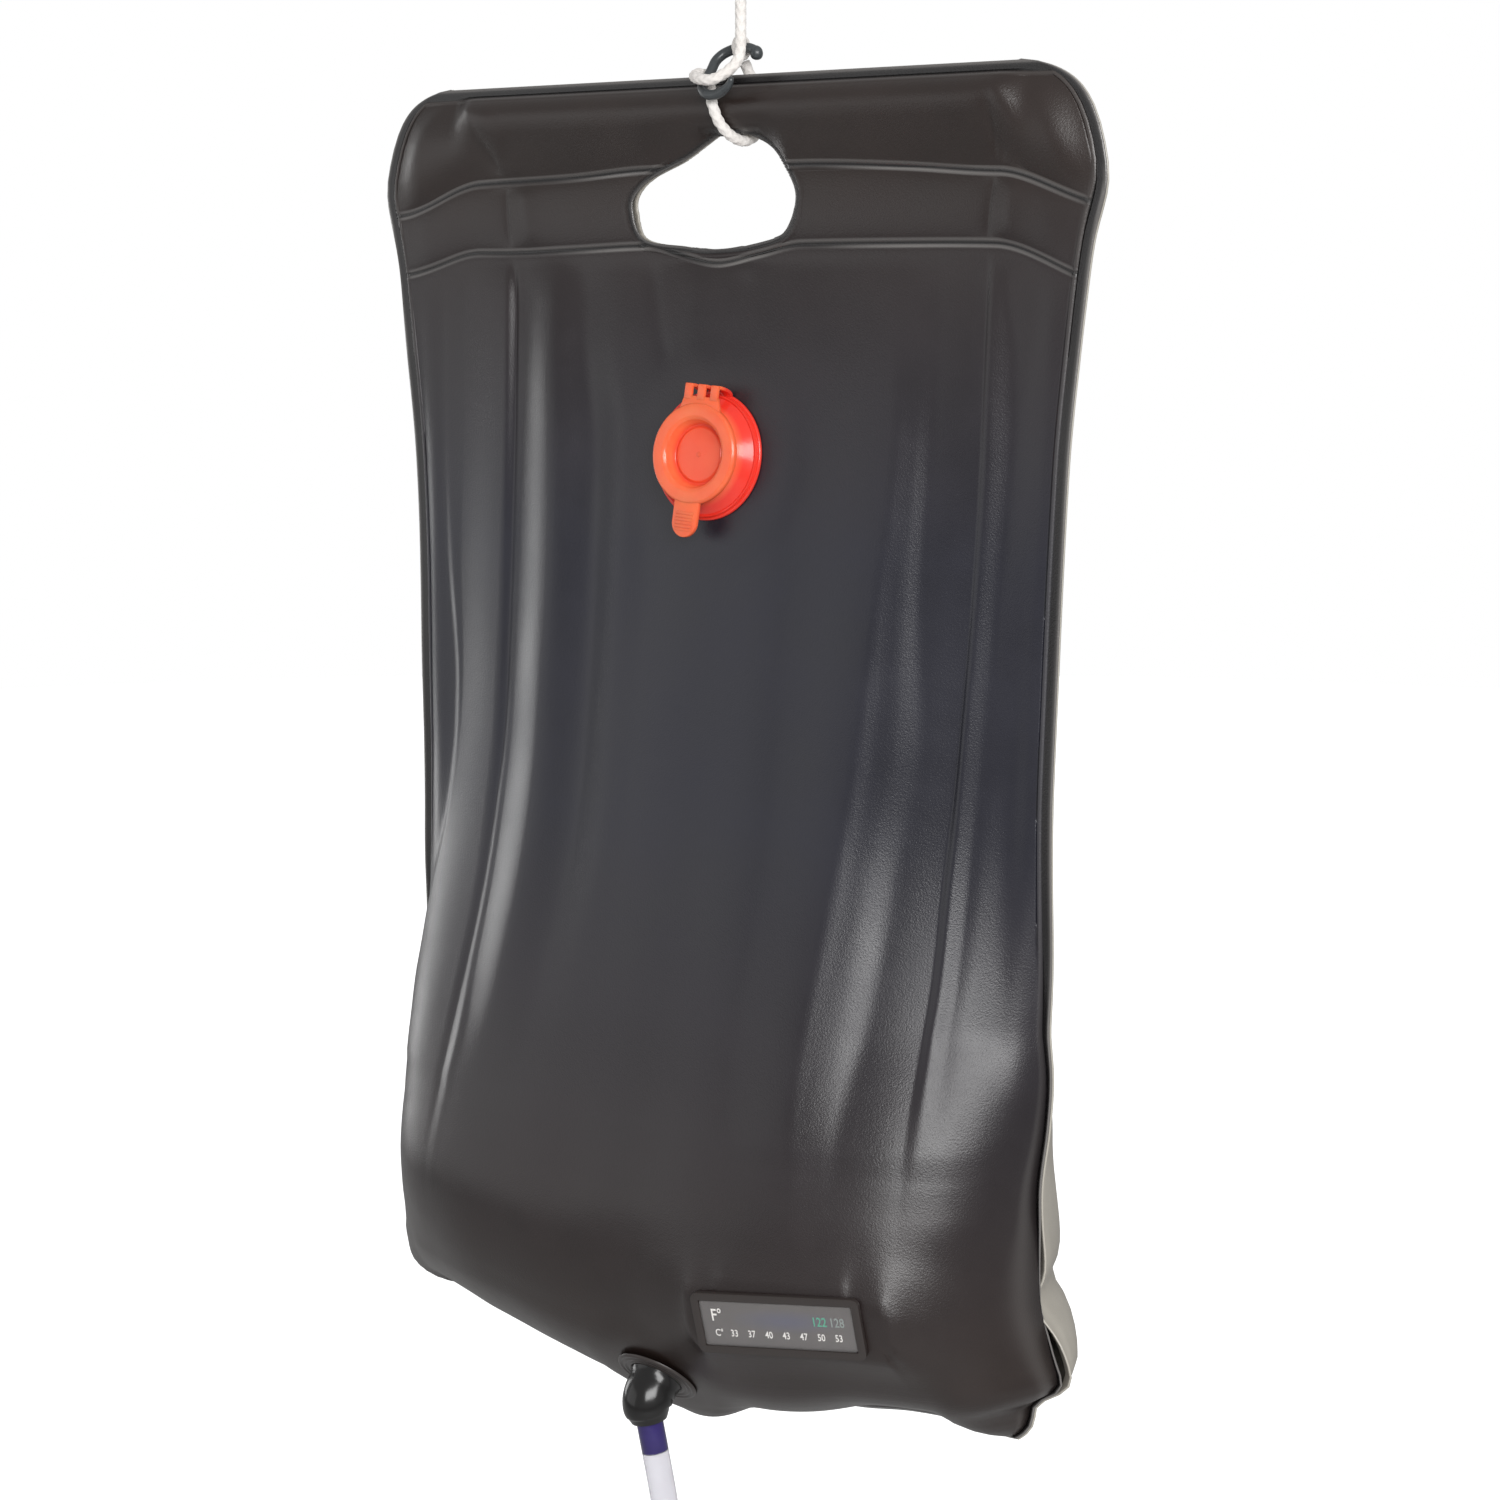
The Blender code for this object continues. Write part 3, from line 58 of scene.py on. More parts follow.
def feed(tree, made, inputs):
    """Each input of a shader node linked to a socket or set to a value."""
    for name, value in inputs.items():
        if isinstance(value, bpy.types.NodeSocket):
            tree.links.new(value, made.inputs[name])
        else:
            made.inputs[name].default_value = value
    return made


def node(tree, kind, inputs=None, **settings):
    """A shader node with its settings and its inputs."""
    made = tree.nodes.new("ShaderNode" + kind)
    for name, value in settings.items():
        setattr(made, name, value)
    return feed(tree, made, inputs or {})


def object_place(tree):
    """Where the shaded point is, in metres in the frame."""
    return node(tree, "TexCoord").outputs["Object"]


def local_place(tree, origin, turn):
    """Where the shaded point is, seen from a fitting's own frame."""
    inputs = {"Vector": object_place(tree), "Location": origin, "Rotation": turn.to_euler()}
    return node(tree, "Mapping", inputs, vector_type="TEXTURE").outputs[0]


def noise(tree, place, size, detail=2, rough=0.5):
    """Fractal noise whose largest forms are about size metres wide."""
    inputs = {"Vector": place, "Scale": 1 / size, "Detail": detail, "Roughness": rough}
    return node(tree, "TexNoise", inputs).outputs[0]


def spread(tree, value, low, high, start=0, end=1):
    """A value that runs from start to end, made to run from low to high."""
    inputs = {"Value": value, "From Min": start, "From Max": end, "To Min": low, "To Max": high}
    return node(tree, "MapRange", inputs).outputs[0]


def blend(tree, share, first, second):
    """Two colours, as hex or as sockets, mixed by a share."""
    first, second = (srgb(colour) if isinstance(colour, str) else colour for colour in (first, second))
    return node(tree, "Mix", {0: share, 6: first, 7: second}, data_type="RGBA").outputs[2]


def combined(tree, operation, first, second):
    """Two values made one by a math operation."""
    return node(tree, "Math", {0: first, 1: second}, operation=operation).outputs[0]


def bumped(tree, height, strength, distance):
    """The normal of a surface with a fine relief."""
    return node(tree, "Bump", {"Height": height, "Strength": strength, "Distance": distance}).outputs[0]


def camera_share(tree):
    """1 for rays from the camera, straight or through something clear, and 0 for all others."""
    ray = node(tree, "LightPath").outputs
    return combined(tree, "MAXIMUM", ray["Is Camera Ray"], ray["Is Transmission Ray"])


def new_material(name):
    """An empty material, its tree and its Principled shader."""
    material = bpy.data.materials.new(name)
    material.use_nodes = True
    tree = material.node_tree
    return material, tree, tree.nodes["Principled BSDF"]


def paint(solid, material):
    """A material on a solid that stays in sight."""
    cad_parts[solid].data.materials.clear()
    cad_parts[solid].data.materials.append(material)


def show(name, mesh, body, material, replaces=()):
    """A finished mesh as a piece of the object, riding on its body."""
    obj = bpy.data.objects.new(name, mesh)
    scene.collection.objects.link(obj)
    mesh.materials.clear()
    mesh.materials.append(material)
    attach(obj, body)
    if replaces:
        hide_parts(*replaces)
    return obj


CAMERA_PLACE = (0.7250, -0.9911, -0.1663)
CAMERA_TURN = math.radians(36)
CAMERA_TILT = math.radians(9.4)
CAMERA_LENS = 67.06
camera_data = bpy.data.cameras.new("camera")
camera_data.lens = CAMERA_LENS
camera = bpy.data.objects.new("camera", camera_data)
scene.collection.objects.link(camera)
scene.camera = camera
camera.location = CAMERA_PLACE
camera.rotation_euler = (math.pi / 2 - CAMERA_TILT, 0, CAMERA_TURN)

FLOOR_LEVEL = -1.16
FLOOR_RADIUS = 6
FLOOR_WHITE_FROM = 1.25
FLOOR_WHITE_TO = 1.6
WORLD_IN_MIRRORS = 0.5
WORLD_LIGHT = 0.4
floor_bm = bmesh.new()
bmesh.ops.create_circle(floor_bm, cap_ends=True, segments=96, radius=FLOOR_RADIUS)
bmesh.ops.translate(floor_bm, verts=floor_bm.verts, vec=(0, 0, FLOOR_LEVEL))
floor_mesh = bpy.data.meshes.new("studio_floor")
floor_bm.to_mesh(floor_mesh)
floor_bm.free()
studio_floor = bpy.data.objects.new("studio_floor", floor_mesh)
scene.collection.objects.link(studio_floor)
paper, tree, shader = new_material("white_paper_floor")
away = node(tree, "VectorMath", {0: object_place(tree)}, operation="LENGTH").outputs["Value"]
away = spread(tree, away, 0.5, 1, FLOOR_WHITE_FROM, FLOOR_WHITE_TO)
glow = combined(tree, "MULTIPLY", camera_share(tree), away)
feed(tree, shader, {"Base Color": srgb("#CDCDCD"), "Roughness": 0.9})
feed(tree, shader, {"Emission Color": srgb("#FFFFFF"), "Emission Strength": glow})
floor_mesh.materials.append(paper)

world = bpy.data.worlds.new("studio")
scene.world = world
world.use_nodes = True
tree = world.node_tree
tree.nodes.clear()
mirror = combined(tree, "MULTIPLY", node(tree, "LightPath").outputs["Is Glossy Ray"], WORLD_IN_MIRRORS)
strength = combined(tree, "MAXIMUM", camera_share(tree), mirror)
strength = combined(tree, "MAXIMUM", strength, WORLD_LIGHT)
sky = node(tree, "Background", {"Color": (1, 1, 1, 1), "Strength": strength})
node(tree, "OutputWorld", {"Surface": sky.outputs[0]})

# Each soft box: azimuth round the bag (0 is its front, positive its right), elevation, distance, width,
# height and power. The right one is the key light, the left one the rim light, and the front one fills.
SOFT_BOXES = {
    "right_box": (51, 21, 1.9, 1.6, 0.7, 35),
    "left_box": (-94, 2, 1.9, 0.6, 1.1, 6.2),
    "front_box": (-43, 4, 1.9, 1.7, 1.1, 3.6),
}
BAG_MIDDLE = Vector((-0.02, 0, -0.4))
for name, (azimuth, elevation, distance, width, height, power) in SOFT_BOXES.items():
    lamp = bpy.data.lights.new(name, "AREA")
    lamp.shape = "RECTANGLE"
    lamp.size = width
    lamp.size_y = height
    lamp.energy = power
    obj = bpy.data.objects.new(name, lamp)
    scene.collection.objects.link(obj)
    turn, rise = math.radians(azimuth), math.radians(elevation)
    flat = distance * math.cos(rise)
    away = Vector((flat * math.sin(turn), -flat * math.cos(turn), distance * math.sin(rise)))
    obj.location = BAG_MIDDLE + away
    obj.rotation_euler = (BAG_MIDDLE - obj.location).to_track_quat("-Z", "Y").to_euler()

# The bag's form. Two sheets of black and grey PVC film are welded round their edge, across under the rod
# and again below that, and round the handle hole. Water fills the chamber under the second weld. Bag
# coordinates are x across from the middle line and depth down from the top edge.

BAG_HEIGHT = 0.592
BAG_WIDTH = 0.394
BULGE = 0.0905
SHEET = 0.0008
SEAM = 0.005
WELD_GAP = 0.0003
TOP_CORNER = 0.042
BOTTOM_CORNER = 0.026
ROD_WELD_DEPTH = 0.0415
BAND = 0.0322
EAR_DROOP = 0.015
EAR_PUFF = 0.0055
BAND_PUFF = 0.0014
LEAN = 0.0055
CORNER_REACH = 0.0192
BOTTOM_RISE = 0.009
BOTTOM_DROP = 0.0084
WIDTH_SHARES = [(0, 0.996), (0.03, 1), (0.05, 1), (0.07, 0.984), (0.1, 0.9645), (0.15, 0.9445)]
WIDTH_SHARES += [(0.2, 0.931), (0.25, 0.9205), (0.3, 0.9135), (0.4, 0.9015), (0.5, 0.8985), (0.6, 0.9045)]
WIDTH_SHARES += [(0.7, 0.9085), (0.75, 0.89), (0.8, 0.867), (0.84, 0.858), (0.887, 0.858), (0.93, 0.882)]
WIDTH_SHARES += [(0.96, 0.904), (1, 0.904)]
LEAN_SHARES = [(0, 0.58), (0.1, 0.74), (0.2, 0.71), (0.4, 0.84), (0.6, 1), (1, 1)]
CORNER_SHARES = [(0.68, 0), (0.75, 0.27), (0.8, 0.4), (0.84, 0.54), (0.875, 0.66), (0.909, 0.94), (0.93, 1)]
CORNER_SHARES += [(0.951, 0.65), (0.976, 0), (1, 0)]
BULGE_SHARES = [(0.136, 0), (0.205, 0.11), (0.274, 0.18), (0.427, 0.29), (0.564, 0.42), (0.684, 0.64)]
BULGE_SHARES += [(0.77, 0.85), (0.85, 1), (1, 1)]
ROUND_FROM_SHARE = 0.84
ROUND_POWER = 2.6
# How square the full bag's cross-section is and how bluntly it meets the seam: each high up, then what
# changes low down, and last how much rounder the back is towards positive x.
SQUARE_POWER = 2.2
LOW_SQUARE_POWER = 1.4
SIDE_POWER = 1.1
LOW_SIDE_POWER = 0.64
BACK_SIDE_POWER = 0.16
DROP_SHARES = [(-1, -0.4), (-0.8, -0.42), (-0.5, -0.28), (-0.35, -0.16), (-0.2, 0.42), (-0.1, 0.84), (0, 1)]
DROP_SHARES += [(0.1, 0.93), (0.2, 0.83), (0.4, 0.6), (0.55, 0), (0.7, -0.23), (0.85, -0.06), (1, 0.2)]
FOLD_TOP_X_SHARES = (-0.644, -0.37, 0.53, 0.695)
FOLD_FOOT_X_SHARES = (-0.6, -0.39, 0.5, 0.73)
FOLD_TOP_DEPTH_SHARES = (0.1, 0.2, 0.2, 0.1)
FOLD_FOOT_DEPTH_SHARES = (0.78, 0.66, 0.8, 0.74)
FOLD_HEIGHT = 0.0055
FOLD_HEIGHT_SHARES = (1, 0.55, 0.75, 0.9)
FOLD_HALF_WIDTH = 0.013
ROD_RADIUS = 0.0090
ROD_LENGTH = 0.268
ROD_X = 0.005
SLEEVE_EASE = 0.0008
HOLE_X = 0.002
HOLE_DEPTH = 0.0495
HOLE_WIDTH = 0.086
HOLE_HEIGHT = 0.0496
HOLE_RIM = 0.0025
HOLE_SHARES = [(0.32, 1), (0.66, 0.77), (0.86, 0.37), (1, -0.13), (0.87, -0.68), (0.55, -0.89)]
HOLE_SHARES += [(0.02, -0.99), (-0.42, -0.95), (-0.94, -0.81), (-1.08, -0.31), (-1.04, 0.0)]
HOLE_SHARES += [(-0.82, 0.29), (-0.4, 0.58), (-0.12, 0.85), (0.05, 0.99)]
HOLE_UPPER_FROM = -0.14
HANG_DROP = 0.0755
CORD_X = 0.0196
CORD_Y = -0.0130
SLEEVE_RADIUS = ROD_RADIUS + SLEEVE_EASE
ROD_DEPTH = SEAM - SHEET + SLEEVE_RADIUS
BAND_DEPTH = ROD_WELD_DEPTH + BAND
HALF_WIDTH = BAG_WIDTH / 2
EAR_FROM = ROD_LENGTH / 2 + ROD_RADIUS * 0.7
SEAT = 0.0003


def ease(low, high, at):
    """0 below low, 1 above high, smooth between."""
    t = np.clip((np.asarray(at, float) - low) / (high - low), 0, 1)
    return t * t * (3 - 2 * t)


def bell(value, at, width):
    """1 at a place, falling off smoothly to both sides and to 0.37 at a width from it."""
    return np.exp(-(((value - at) / width) ** 2))


def run_along(points):
    """How far along a line each of its points is."""
    return np.concatenate([[0], np.cumsum(np.linalg.norm(np.diff(points, axis=0), axis=1))])


def flow(pairs, at):
    """A smooth line through the pairs that never swings past them."""
    xs, ys = (np.array(row, float) for row in zip(*pairs, strict=True))
    step = np.diff(xs)
    rise = np.diff(ys) / step
    slope = np.concatenate([[rise[0]], (rise[1:] + rise[:-1]) / 2, [rise[-1]]])
    slope[1:-1][rise[1:] * rise[:-1] <= 0] = 0
    limit = 3 * np.minimum(np.abs(np.append(rise, rise[-1])), np.abs(np.insert(rise, 0, rise[0])))
    slope = np.clip(slope, -limit, limit)
    at = np.clip(np.asarray(at, float), xs[0], xs[-1])
    i = np.clip(np.searchsorted(xs, at) - 1, 0, len(step) - 1)
    t = (at - xs[i]) / step[i]
    down, up = (1 - t) ** 2, t * t
    return down * ((1 + 2 * t) * ys[i] + t * step[i] * slope[i]) + up * (
        (3 - 2 * t) * ys[i + 1] - (1 - t) * step[i] * slope[i + 1]
    )


def half_width(depth):
    """Half width of the bag at a depth, with its round corners."""
    width = HALF_WIDTH * flow(WIDTH_SHARES, depth / BAG_HEIGHT)
    top = np.clip(TOP_CORNER - depth, 0, TOP_CORNER)
    foot = np.clip(BOTTOM_CORNER - (BAG_HEIGHT - depth), 0, BOTTOM_CORNER)
    width = width - TOP_CORNER + np.sqrt(TOP_CORNER**2 - top**2)
    return width - BOTTOM_CORNER + np.sqrt(BOTTOM_CORNER**2 - foot**2)


def middle(depth):
    """x of the bag's middle line at a depth."""
    return -LEAN * flow(LEAN_SHARES, depth / BAG_HEIGHT)


def reach(x, depth):
    """How far the lower corner sticks out past the plain half width."""
    return CORNER_REACH * flow(CORNER_SHARES, depth / BAG_HEIGHT) * ease(0.35, 1, x / half_width(depth))


def hole_top(x):
    """Depth of the handle hole's upper edge at x, and a great depth beside it."""
    upper = sorted((p for p in HOLE_SHARES if p[1] > HOLE_UPPER_FROM), key=lambda p: p[0])
    share = (x - HOLE_X) / (HOLE_WIDTH / 2)
    depth = HOLE_DEPTH - HOLE_HEIGHT / 2 * flow(upper, share) - HOLE_RIM
    return np.where(np.abs(share) < 1, depth, BAG_HEIGHT)


def sleeve(x, depth):
    """How far the sheet stands out round the rod, then runs in to the weld or to the hole's rim."""
    foot = np.maximum(np.minimum(ROD_WELD_DEPTH, hole_top(x)), ROD_DEPTH + SLEEVE_RADIUS)
    run = foot - ROD_DEPTH
    turn = np.arccos(np.clip(SLEEVE_RADIUS / run, 0, 1))
    tangent = ROD_DEPTH + SLEEVE_RADIUS * np.cos(turn)
    wrapped = np.sqrt(np.clip(SLEEVE_RADIUS**2 - (depth - ROD_DEPTH) ** 2, 0, None))
    slope = np.clip((foot - depth) / np.maximum(foot - tangent, SEAT), 0, 1)
    return np.where(depth < tangent, wrapped, SLEEVE_RADIUS * np.sin(turn) * slope)


def folds(x, depth):
    """The long vertical folds, as a height above the plain bulge."""
    total = 0
    rows = zip(
        FOLD_TOP_X_SHARES,
        FOLD_FOOT_X_SHARES,
        FOLD_TOP_DEPTH_SHARES,
        FOLD_FOOT_DEPTH_SHARES,
        FOLD_HEIGHT_SHARES,
        strict=True,
    )
    for top_x, foot_x, top, foot, height in rows:
        share = depth / BAG_HEIGHT
        run = ease(top, foot, share)
        line = HALF_WIDTH * (top_x + (foot_x - top_x) * run)
        shown = ease(top, top + 0.1, share) * (1 - ease(foot - 0.25, foot, share))
        total = total + FOLD_HEIGHT * height * shown * bell(x, line, FOLD_HALF_WIDTH)
    return total


def foot_seam(share):
    """Depth of the bottom seam across the bag: it rises between the middle and the corners."""
    hump = ease(0.3, 0.75, np.abs(share)) * (1 - ease(0.8, 0.97, np.abs(share)))
    return BAG_HEIGHT - SEAM - BOTTOM_RISE * hump


def chamber(x, depth, front=True):
    """How far a wall stands out of the seam plane over the water. The back one is rounder at its sides."""
    inner = half_width(depth) - SEAM
    share = np.clip(np.abs(x) / inner, 0, 1)
    low = ease(0.5, 0.84, depth / BAG_HEIGHT)
    side = LOW_SIDE_POWER - (0 if front else BACK_SIDE_POWER * ease(0.2, 0.8, x / inner))
    section = (1 - share ** (SQUARE_POWER + LOW_SQUARE_POWER * low)) ** (SIDE_POWER - side * low)
    start = ROUND_FROM_SHARE * BAG_HEIGHT
    t = np.clip((depth - start) / (foot_seam(x / inner) - start), 0, 1)
    closing = np.sqrt(1 - t**ROUND_POWER)
    full = BULGE * flow(BULGE_SHARES, depth / BAG_HEIGHT) * section * closing
    return full if front else full + folds(x, depth) * (1 - ease(0.86, 1, share))


def plain_wall(x, depth, front=True):
    """Height of a wall over the seam plane before anything is welded on it, at x from its middle line."""
    ear = ease(EAR_FROM, EAR_FROM + EAR_DROOP, np.abs(x - ROD_X))
    pillow = EAR_PUFF * np.sin(math.pi * np.clip((depth - SEAM) / (ROD_WELD_DEPTH - SEAM), 0, 1))
    edge = 1 - ease(0.9, 1, np.abs(x) / (half_width(depth) - SEAM))
    top = sleeve(x, depth) * (1 - ear) + pillow * ear * edge
    puff = BAND_PUFF * np.sin(math.pi * np.clip((depth - ROD_WELD_DEPTH) / BAND, 0, 1)) * edge
    height = np.where(depth < ROD_WELD_DEPTH, top, puff)
    height = np.where(depth > BAND_DEPTH, chamber(x, depth, front), height)
    return np.where(depth < SEAM - SHEET, 0, height)


def droop(x, depth):
    """How far the ears sag below the rod's line."""
    side = ease(EAR_FROM, HALF_WIDTH, np.abs(x - ROD_X))
    shown = ease(SEAM, ROD_WELD_DEPTH, depth) * (1 - ease(BAND_DEPTH, 3 * BAND_DEPTH, depth))
    return EAR_DROOP * side * shown


def place(x, height, depth):
    """Bag coordinates to the frame. Height is towards the front."""
    drop = BOTTOM_DROP * flow(DROP_SHARES, x / HALF_WIDTH) * ease(0.7, 1, depth / BAG_HEIGHT)
    across = x + middle(depth) + reach(x, depth) - CORD_X
    return np.stack([across, -height - CORD_Y, -HANG_DROP - depth - droop(x, depth) - drop], -1)


def seat(x, depth):
    """The frame of a fitting welded on the front: x across, y up, z out of the wall, on its outer face."""
    step = SEAM / 10
    x = x - middle(depth).item()
    here = place(x, plain_wall(x, depth), depth)
    across = place(x + step, plain_wall(x + step, depth), depth) - here
    up = place(x, plain_wall(x, depth - step), depth - step) - here
    normal = Vector(np.cross(across, up)).normalized()
    across = Vector(across).normalized()
    matrix = Matrix((across, normal.cross(across).normalized(), normal)).transposed().to_4x4()
    matrix.translation = Vector(here) + normal * (SHEET + WELD_GAP / 2)
    return matrix


FILLER_X = 0.0058
FILLER_DEPTH = 0.164
NECK_BORE_RADIUS = 0.0190
NECK_FLANGE_RADIUS = 0.0284
GAUGE_X = 0.088
GAUGE_DEPTH = BAG_HEIGHT - 0.0697
GAUGE_WIDTH = 0.078
GAUGE_HEIGHT = 0.0285
OUTLET_X = 0.0145
OUTLET_DEPTH = BAG_HEIGHT - 0.0302
OUTLET_RADIUS = 0.0225
OUTLET_BORE_RADIUS = 0.0045
# Where the fittings sit: place, half width and half height on the bag, and how square each is.
SEATS = {
    "filler": (FILLER_X, FILLER_DEPTH, NECK_FLANGE_RADIUS, NECK_FLANGE_RADIUS, 2),
    "gauge": (GAUGE_X, GAUGE_DEPTH, GAUGE_WIDTH / 2, GAUGE_HEIGHT / 2, 4),
    "outlet": (OUTLET_X, OUTLET_DEPTH, OUTLET_RADIUS, OUTLET_RADIUS * 0.7, 2),
}
FLAT_SHARE = 1.2
BLEND_SHARE = 1.9


def sizes_away(name, x, depth):
    """How far each place is from the middle of a fitting, in sizes of the fitting."""
    seat_x, seat_depth, wide, tall, power = SEATS[name]
    aside = np.abs((x - seat_x + middle(seat_depth)) / wide) ** power
    return (aside + np.abs((depth - seat_depth) / tall) ** power) ** (1 / power)


def flattened(points, x, depth):
    """The front wall's points, moved on to the plane of each fitting round it."""
    for name, (seat_x, seat_depth, *_) in SEATS.items():
        matrix = seat(seat_x, seat_depth)
        normal = np.array(matrix.col[2].to_3d())
        foot = np.array(matrix.translation) - normal * SHEET
        near = 1 - ease(FLAT_SHARE, BLEND_SHARE, sizes_away(name, x, depth))
        points = points + (near * ((foot - points) @ normal))[..., None] * normal
    return points


# The two welded films. The front one is black satin PVC and the back one is warm grey, 0.8 mm as welded and
# pressed. The welds leave flat glossy lines with a lip on both sides, and the full film creases in long
# folds from its upper weld to where the water rounds it out.

# Middle of each weld across the bag, in metres of (x, depth).
UPPER_WELD = [(-0.197, 0.0420), (-0.158, 0.0440), (-0.119, 0.0428), (-0.078, 0.0415), (-0.038, 0.0390)]
UPPER_WELD += [(0.047, 0.0384), (0.10, 0.0405), (0.141, 0.0435), (0.170, 0.0442), (0.197, 0.0436)]
LOWER_WELD = [(-0.197, 0.0700), (-0.182, 0.0711), (-0.156, 0.0740), (-0.120, 0.0750), (-0.079, 0.0738)]
LOWER_WELD += [(-0.036, 0.0724), (-0.018, 0.0765), (0.0025, 0.0803), (0.024, 0.0765), (0.048, 0.0724)]
LOWER_WELD += [(0.093, 0.0722), (0.141, 0.0726), (0.165, 0.0738), (0.187, 0.0745), (0.197, 0.0745)]
# The long folds that the full front film falls into, from the left edge to the right: each line's x at each
# depth and its height there, in millimetres. Valleys and crests take turns, some with a sharp lip between.
FOLD_DEPTHS = (78, 110, 160, 220, 280, 340, 400, 440, 475, 510)
FOLD_XS = [
    (-172, -170, -168, -167, -168, -169, -171, -169, -166, -165),
    (-160, -160, -160, -158, -151.5, -155, -166, -166, -164, -163),
    (-156, -156, -156, -153, -147.5, -151, -161, -160, -158, -157),
    (-146, -146, -145, -147, -144, -148, -152, -150, -148, -148),
    (-120, -117, -114.5, -114, -114.5, -117, -117, -115, -113, -112),
    (-116, -112.5, -109.5, -108.5, -108.5, -112, -112, -110, -109, -108),
    (-113, -109.5, -106.5, -105.5, -105.5, -108.5, -108, -103, -103, -103),
    (-110, -106, -103.5, -102.5, -102.5, -105, -104, -98, -98, -98),
    (-90, -86, -80, -77, -78, -79, -82, -84, -84, -84),
    (-74, -70, -58, -55, -54, -54, -58, -58, -58, -58),
    (-50, -50, -38, -37, -36, -34, -38, -38, -38, -38),
    (-22,) * 10,
    (0,) * 10,
    (55, 55, 55, 55, 55, 55, 55, 60, 70, 70),
    (96, 100, 103.5, 99, 95, 90, 88, 90, 95, 95),
    (104, 108, 110, 105, 102, 97, 97, 98, 98, 98),
    (108, 112, 113, 109, 108, 101, 101, 102, 102, 102),
    (118, 120, 118, 117, 120, 114, 113, 110, 110, 110),
    (140.7, 140.7, 140.5, 138.5, 135.5, 132.5, 134.5, 134, 135, 135),
    (143.5, 143.5, 143.5, 141.5, 138.5, 137, 139, 139, 140, 140),
    (156, 156, 154, 150, 146, 143, 144, 145, 146, 146),
    (160, 160, 159, 155, 150, 147.5, 147.5, 149, 150, 150),
    (165, 165, 164, 161, 158, 156, 160, 164, 164, 164),
    (172, 171, 171, 170, 170, 170, 170, 169, 168, 167),
]
FOLD_HEIGHTS = [
    (0.2, 0.6, 1, 1.2, 1.6, 1.6, 1.6, 0.8, 0.3, 0),
    (-0.2, -0.4, -0.6, -1, -1.8, -1, 1, 1, 0.6, 0),
    (-0.2, -0.3, -0.4, -0.3, -0.5, 0.6, 3, 2.8, 1.2, 0),
    (-0.3, -0.4, -0.6, -1, -0.8, 0.6, 2.8, 2.8, 1.2, 0),
    (0.9, 1.2, 1.2, 1, 0.8, 0, -1, -0.6, 0, 0),
    (-1.4, -1.5, -1.4, -1.3, -1.4, -1.8, -2.4, -1.5, -0.3, 0),
    (-0.4, -0.6, -0.8, -0.9, -1, -1.1, -1.6, 0, 0.1, 0),
    (-0.4, -0.6, -0.8, -0.8, -0.9, -1.2, -1.8, -0.4, 0, 0),
    (1.8, 3.2, 5, 5, 4.8, 4.4, 2.4, 0.3, 0, 0),
    (-1, -1.6, -2, -2, -2, -2, -0.2, 0, 0, 0),
    (0.1, 0.2, 0.8, 0.8, 0.4, 0.4, 0.1, 0, 0, 0),
    (0, -0.2, -0.6, -0.3, -0.1, 0, 0, 0, 0, 0),
    (0,) * 10,
    (0, 0, 0, 0, 0, 0, 0, 0, -0.4, -0.5),
    (0.5, 0.9, 2, 2.8, 3.6, 3.4, 3.4, 2.2, -0.4, -0.6),
    (0.2, 0.4, 0.6, 1.4, 1.6, 1.6, 1.6, 0.8, -0.5, -0.6),
    (0, 0.1, -0.1, 0.7, 0.8, 0.8, 0.6, -0.1, -0.7, -0.6),
    (-0.5, -0.9, -1.6, -2, -2.8, -3, -3.2, -1.9, -0.8, -0.5),
    (-1.5, -1.8, -2.3, -3, -3.9, -4.2, -4, -2, -0.2, 0.8),
    (0, -0.3, -0.9, -1.2, -1.2, -1.6, -1.4, -0.7, 0.4, 1.4),
    (-1.8, -2.3, -3, -2.8, -2.8, -3, -2.8, -0.8, 1.3, 2.3),
    (-1.4, -1.8, -2.2, -2, -2.2, -2.2, -2.2, -0.3, 1.8, 2.8),
    (-0.8, -0.9, -1, -1.2, -1.8, -2.6, -2.6, -0.3, 1.4, 2.2),
    (0, 0, 0, 0, 0, 0, 0, 0.4, 0.6, 0.6),
]
# Creases: points of (depth, x) in millimetres down the valley, its depth, how narrow its line is, and how
# wide the sheet dips to it, all in millimetres.
FRONT_CREASES = [
    ([(2, -144.5), (14, -138), (25.7, -131.1), (40.2, -121)], 1.9, 1.4, 6),
    ([(2, 143), (8, 144.5), (24, 144.6), (37.5, 144.2)], 2.0, 1.3, 6),
    ([(32, 146.5), (35.6, 148.4), (39, 154), (42.1, 160.1)], 1.4, 1.1, 4),
    ([(43, -120), (58, -119), (74, -118)], 1.3, 1.6, 7),
    ([(44, 144), (58, 142), (74, 140.5)], 1.3, 1.4, 6),
    ([(80, -36.2), (96, -30), (114, -23.9), (127, -17.0)], 1.1, 1.6, 6),
    ([(83, 19.9), (95, 15.5), (107, 11.1), (126, 4.0)], 0.9, 1.6, 6),
    ([(522, 171), (525, 165), (529, 158), (533, 149)], 3.6, 1.8, 6),
    ([(568, 178), (566, 170), (564, 162)], 2.2, 1.8, 5),
    ([(500, -170), (506, -160), (507, -148)], 0.9, 1.8, 5),
]
